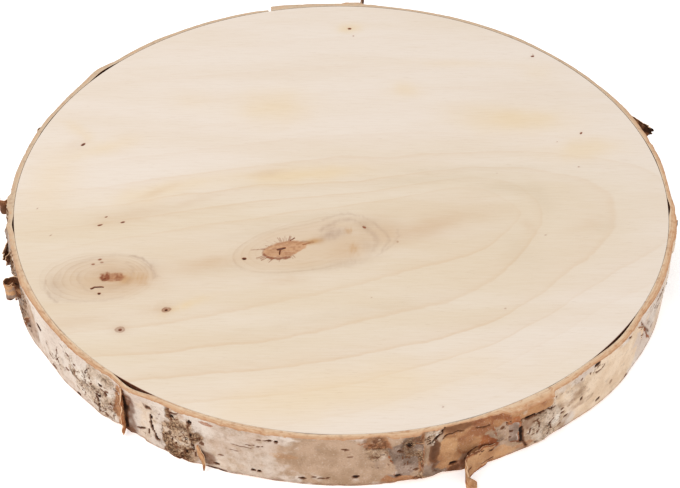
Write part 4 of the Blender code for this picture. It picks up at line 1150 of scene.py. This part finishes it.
# What shows on each sheet's outer face, then on its inner face. Much of the dark on the inner faces,
# and on the outer faces of the left scroll and the right flag, is painted shade in the curls' hollows and
# undersides.
SHEET_LOOKS = {
    "dark_knob": ({"dark": 0.55, "tan": 0.6, "orange": 0.3}, {"tan": 0.8, "dark": 0.55}),
    "left_flake": ({"grey": 0.9, "lichen": 0.7, "dark": 0.45}, {"grey": 0.8, "dark": 0.6}),
    "left_low_flake": ({"grey": 0.9, "lichen": 0.5, "dark": 0.4}, {"grey": 0.8, "dark": 0.55}),
    "left_scroll": ({"tan": 0.9, "dark": 0.55}, {"grey": 1.0, "gold": 0.45, "dark": 0.24}),
    "left_edge": ({"tan": 0.8, "orange": 0.42, "dark": 0.42}, {"tan": 1.0, "orange": 0.6, "dark": 0.3}),
    "small_tongue": ({"gold": 0.9, "wash": 0.6}, {"gold": 0.9, "orange": 0.36}),
    "grey_ridge": ({"grey": 0.8, "lichen": 0.6}, {"tan": 1.0, "orange": 0.5}),
    "front_curl": ({"gold": 1.0, "tan": 0.24, "dark": 0.22}, {"gold": 1.0, "orange": 0.42, "dark": 0.26}),
    "grey_flap": ({"grey": 0.68, "wash": 0.5}, {"tan": 1.0}),
    "torn_edge": ({"peach": 1.0}, {"tan": 1.0, "orange": 0.6}),
    "right_flake": ({"grey": 0.8, "dark": 0.8}, {"tan": 0.7, "dark": 0.95}),
    "right_flag": ({"tan": 0.8, "dark": 0.7}, {"tan": 0.9, "dark": 0.78}),
    "right_low_curl": ({"peach": 0.8, "grey": 0.3}, {"tan": 1.0, "orange": 0.5}),
    "rear_scroll": ({"wash": 0.7, "grey": 0.4}, {"tan": 1.0, "orange": 0.6}),
    "rear_flake": ({"crackle": 0.7}, {"tan": 1.0, "orange": 0.4}),
    "rear_tuft": ({"dark": 0.58, "tan": 0.6}, {"tan": 1.0, "dark": 0.55}),
    "rear_low_edge": ({"peach": 0.7, "wash": 0.5}, {"tan": 1.0, "orange": 0.5}),
    "rear_left_curl": ({"grey": 0.45}, {"tan": 1.0, "orange": 0.6}),
    "left_scale_upper": ({"dark": 0.5, "grey": 0.9}, {"grey": 0.7, "dark": 0.6}),
    "left_scale_middle": ({"dark": 0.5, "lichen": 0.7}, {"grey": 0.7, "dark": 0.55}),
    "left_scale_lower": ({"dark": 0.5, "grey": 0.7}, {"tan": 1.0, "orange": 0.4}),
}


def sheet_surface(sheet, seed):
    """The middle surface of a torn sheet as a grid of points, with the way along it and up it."""
    count_along = max(14, round(sheet["length"] / 0.42))
    count_up = max(10, round((sheet["high"][0] - sheet["low"][0]) / 0.5))
    share = np.linspace(0, 1, count_along + 1)
    heading = np.radians(sheet["lift"] + sheet["turn"] * ((share[:-1] + share[1:]) / 2) ** sheet["bend"])
    root = math.radians(sheet["root"])
    outward = np.array([math.cos(root), math.sin(root)])
    along = np.array([-outward[1], outward[0]]) * sheet["way"]
    middle_height = (sheet["low"][0] + sheet["high"][0]) / 2
    bark_here = bark_radius(np.array([sheet["root"]]), np.array([middle_height]))[0]
    start = outward * (bark_here - SHEET_ROOT_DEPTH)
    strides = np.outer(np.cos(heading), along) + np.outer(np.sin(heading), outward)
    path = np.vstack([start, start + np.cumsum(strides * sheet["length"] / count_along, 0)])
    along_share, up = np.meshgrid(share, np.linspace(0, 1, count_up + 1), indexing="ij")
    tip_tear = 1 - 0.14 * ease(0.5 + rough(up * (sheet["high"][0] - sheet["low"][0]), up * 0, 3, seed, 3))
    torn_share = along_share * tip_tear * (1 - sheet["slant"] * up)
    way = torn_share * sheet["length"]
    low = np.interp(torn_share, [0, 1], sheet["low"]) + 0.6 * rough(way, way * 0, 2.6, seed + 3, 4)
    high = np.interp(torn_share, [0, 1], sheet["high"]) + 1.1 * rough(way, way * 0, 2.4, seed + 5, 4)
    level = np.clip(low + (high - low) * up, SHEET_INSET, THICKNESS - SHEET_INSET)
    turned = np.interp(torn_share, share[:-1], np.unwrap(heading))
    side = np.cos(turned)[..., None] * outward - np.sin(turned)[..., None] * along
    crumple = 0.7 * rough(way, level, 5, seed + 8, 4) * ease(way / 4)
    flat = np.stack([np.interp(torn_share, share, path[:, axis]) for axis in (0, 1)], 2)
    flat = flat * (1 + sheet["lean"] * torn_share * (0.5 - up) / WOOD_RADIUS)[..., None]
    flat = flat + side * crumple[..., None]
    return np.dstack([flat, level]), way, level, up


def thin_body(name, outer_points, inner_points):
    """A mesh of two grids of points, in mm, and the rim that joins them."""
    long, tall = outer_points.shape[:2]
    count = long * tall
    grid = np.arange(count).reshape(long, tall)
    outer = np.stack([grid[:-1, :-1], grid[1:, :-1], grid[1:, 1:], grid[:-1, 1:]], 2).reshape(-1, 4)
    ring = np.concatenate([grid[:-1, 0], grid[-1, :-1], grid[:0:-1, -1], grid[0, :0:-1]])
    after = np.roll(ring, -1)
    rim = np.stack([ring, ring + count, after + count, after], 1)
    points = np.concatenate([outer_points.reshape(-1, 3), inner_points.reshape(-1, 3)]) * MM
    mesh = bpy.data.meshes.new(name)
    mesh.from_pydata(points.tolist(), [], np.vstack([outer, outer[:, ::-1] + count, rim]).tolist())
    finish = np.repeat([0, 1], [2 * len(outer), len(rim)])
    mesh.polygons.foreach_set("material_index", finish.astype(np.int32))
    return mesh


def sheet_patch(kind, look, way, level, to_edge, spots, seed):
    """Where one kind of surface shows on a face of a sheet."""
    patch = ease((look.get(kind, -1) * 1.5 - 0.6 + 0.6 * rough(way, level, 3.6, seed + len(kind), 4)) / 0.45)
    if kind == "dark":
        patch = patch * min(1, 0.2 + 0.8 * look.get(kind, 0))
        patch = np.maximum(patch, spot_mask(way / MM_A_DEGREE, level, spots))
        singe = ease((0.35 + 0.4 * rough(way, level, 2, seed + 30, 3) - to_edge) / 0.4)
        patch = np.maximum(patch, 0.4 * singe)
    if kind == "orange":
        torn_rim = ease((0.9 + 0.6 * rough(way, level, 2.2, seed + 33, 3) - to_edge) / 0.5)
        patch = np.maximum(patch, 0.8 * torn_rim)
    return patch.reshape(-1)


def sheet_mesh(name, sheet, looks, seed):
    """A torn sheet: its two faces a little apart, thinner at the rim, and what shows on each."""
    surface, way, level, up = sheet_surface(sheet, seed)
    facing = np.cross(np.gradient(surface, axis=0), np.gradient(surface, axis=1)) * sheet["way"]
    facing = facing / np.linalg.norm(facing, axis=2, keepdims=True)
    tall = sheet["high"][0] - sheet["low"][0]
    to_edge = np.minimum(np.minimum(tall * up, tall - tall * up), way.max() - way)
    half = SHEET_THICKNESS / 2 * (0.55 + 0.45 * ease(to_edge / 1.2))[..., None]
    mesh = thin_body(name, surface + facing * half, surface - facing * half)
    draw = np.random.default_rng(seed)
    values = {kind: [] for kind in SURFACES}
    for look in looks:
        spots = [(draw.uniform(1, way.max()) / MM_A_DEGREE, draw.uniform(level.min(), level.max()),
                  draw.uniform(0.6, 1.8), draw.uniform(0.25, 0.5), draw.uniform(0.4, 0.9))
                 for number in range(round(way.max() * tall / SHEET_AREA_A_SPOT))]
        for kind in SURFACES:
            values[kind].append(sheet_patch(kind, look, way, level, to_edge, spots, seed))
    set_values(mesh, {kind: np.concatenate(both) for kind, both in values.items()})
    set_values(mesh, {"depth": np.repeat(SHEET_EDGE_DEPTHS, way.size)})
    outward = bmesh.new()
    outward.from_mesh(mesh)
    bmesh.ops.recalc_face_normals(outward, faces=outward.faces)
    outward.to_mesh(mesh)
    outward.free()
    mesh.shade_smooth()
    mesh.set_sharp_from_angle(angle=math.radians(55))
    return mesh


for number, (name, sheet) in enumerate(SHEETS.items()):
    torn = sheet_mesh("sheet_" + name, SHEET_SHARED | sheet, SHEET_LOOKS[name], 400 + 40 * number)
    torn.materials.append(bark)
    torn.materials.append(sawn_bark)
    torn_piece = new_piece("sheet_" + name, torn)
    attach(torn_piece, "root")
    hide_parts("bark_band")


# Loose flakes
# Papery scales up to 1.5 mm across that lift from the cracked and torn parts of the strip, set over
# it by a node tree. Each is fixed at one side and stands up at the other.
FLAKE_KINDS = 4
FLAKE_THICKNESS = 0.16
flake_kinds = bpy.data.collections.new("flake_kinds")
for kind in range(FLAKE_KINDS):
    draw = np.random.default_rng(700 + kind)
    across, up = np.meshgrid(np.linspace(-1, 1, 4), np.linspace(-1, 1, 4), indexing="ij")
    at_rim = np.maximum(np.abs(across), np.abs(up)) > 0.9
    ragged_side = 1 + 0.22 * draw.uniform(-1, 1, across.shape) * at_rim
    flake_x = across * ragged_side * (1.0 + 0.25 * kind / FLAKE_KINDS)
    flake_y = up * ragged_side * (0.75 - 0.12 * kind / FLAKE_KINDS) * (1 - 0.25 * across)
    free_side = (across + 1) / 2
    lift = 0.10 + 0.28 * free_side ** 2 * (1 + draw.uniform(-0.3, 0.3)) - 0.22 * (1 - free_side) ** 2
    lift = lift + 0.05 * draw.uniform(-1, 1, across.shape)
    upper_side = np.stack([flake_x, flake_y, lift + FLAKE_THICKNESS / 2], 2)
    lower_side = np.stack([flake_x * 0.96, flake_y * 0.96, lift - FLAKE_THICKNESS / 2], 2)
    flake = thin_body("flake_%d" % kind, upper_side, lower_side)
    flake.shade_smooth()
    flake_kinds.objects.link(bpy.data.objects.new(flake.name, flake))

scatter = bpy.data.node_groups.new("scatter_flakes", "GeometryNodeTree")
scatter.interface.new_socket("Geometry", in_out="INPUT", socket_type="NodeSocketGeometry")
scatter.interface.new_socket("Geometry", in_out="OUTPUT", socket_type="NodeSocketGeometry")
for name, kind, value in (("Flakes per square metre", "NodeSocketFloat", 650000),
                          ("Smallest", "NodeSocketFloat", 0.2), ("Largest", "NodeSocketFloat", 0.7),
                          ("Seed", "NodeSocketInt", 5)):
    scatter.interface.new_socket(name, in_out="INPUT", socket_type=kind).default_value = value
scatter.interface.new_socket("Kinds", in_out="INPUT", socket_type="NodeSocketCollection")
given = add(scatter, "NodeGroupInput").outputs
flaky_here = add(scatter, "GeometryNodeInputNamedAttribute", {"data_type": "FLOAT"}, {
    "Name": "flaky"}).outputs[0]
density = add(scatter, "ShaderNodeMath", {"operation": "MULTIPLY"}, {
    0: flaky_here, 1: given["Flakes per square metre"]}).outputs[0]
strewn = add(scatter, "GeometryNodeDistributePointsOnFaces", {"distribute_method": "RANDOM"}, {
    "Mesh": given["Geometry"], "Density": density, "Seed": given["Seed"]})
spin = add(scatter, "FunctionNodeRandomValue", {"data_type": "FLOAT"}, {
    2: -0.6, 3: 0.6, "Seed": 1}).outputs[1]
flip = add(scatter, "FunctionNodeRandomValue", {"data_type": "INT"}, {4: 0, 5: 1, "Seed": 2}).outputs[2]
half_turn = add(scatter, "ShaderNodeMath", {"operation": "MULTIPLY_ADD"}, {
    0: flip, 1: math.pi, 2: spin}).outputs[0]
outward_turn = add(scatter, "FunctionNodeAlignRotationToVector", {"axis": "Z"}, {
    "Vector": strewn.outputs["Normal"]}).outputs[0]
level_turn = add(scatter, "FunctionNodeAlignRotationToVector", {"axis": "Y", "pivot_axis": "Z"}, {
    "Rotation": outward_turn, "Vector": (0, 0, 1)}).outputs[0]
own_turn = add(scatter, "FunctionNodeAxisAngleToRotation", None, {
    "Axis": (0, 0, 1), "Angle": half_turn}).outputs[0]
turned = add(scatter, "FunctionNodeRotateRotation", {"rotation_space": "LOCAL"}, {
    0: level_turn, 1: own_turn}).outputs[0]
size = add(scatter, "FunctionNodeRandomValue", {"data_type": "FLOAT"}, {
    2: given["Smallest"], 3: given["Largest"], "Seed": 3}).outputs[1]
kinds = add(scatter, "GeometryNodeCollectionInfo", None, {
    "Collection": given["Kinds"], "Separate Children": True, "Reset Children": True}).outputs[0]
placed = add(scatter, "GeometryNodeInstanceOnPoints", None, {
    "Points": strewn.outputs["Points"], "Instance": kinds, "Pick Instance": True, "Rotation": turned,
    "Scale": size}).outputs[0]
shade = add(scatter, "FunctionNodeRandomValue", {"data_type": "FLOAT"}, {
    2: -0.3, 3: 0.35, "Seed": 16}).outputs[1]
placed = add(scatter, "GeometryNodeStoreNamedAttribute", {"data_type": "FLOAT", "domain": "INSTANCE"}, {
    "Geometry": placed, "Name": "dark", "Value": shade}).outputs[0]
realised = add(scatter, "GeometryNodeRealizeInstances", None, {"Geometry": placed}).outputs[0]
painted = add(scatter, "GeometryNodeSetMaterial", None, {"Geometry": realised, "Material": bark}).outputs[0]
add(scatter, "NodeGroupOutput", None, {"Geometry": painted})

strewer = new_piece("flake_strewer", strip)
modifier = strewer.modifiers.new("scatter_flakes", "NODES")
modifier.node_group = scatter
for item in scatter.interface.items_tree:
    if item.in_out == "INPUT" and item.name == "Kinds":
        modifier[item.identifier] = flake_kinds
graph = bpy.context.evaluated_depsgraph_get()
flakes = bpy.data.meshes.new_from_object(strewer.evaluated_get(graph), depsgraph=graph)
bpy.data.objects.remove(strewer)
for one_kind in list(flake_kinds.objects):
    bpy.data.objects.remove(one_kind)
flakes.name = "bark_flakes"
flakes_piece = new_piece("bark_flakes", flakes)
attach(flakes_piece, "root")
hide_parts("bark_band")
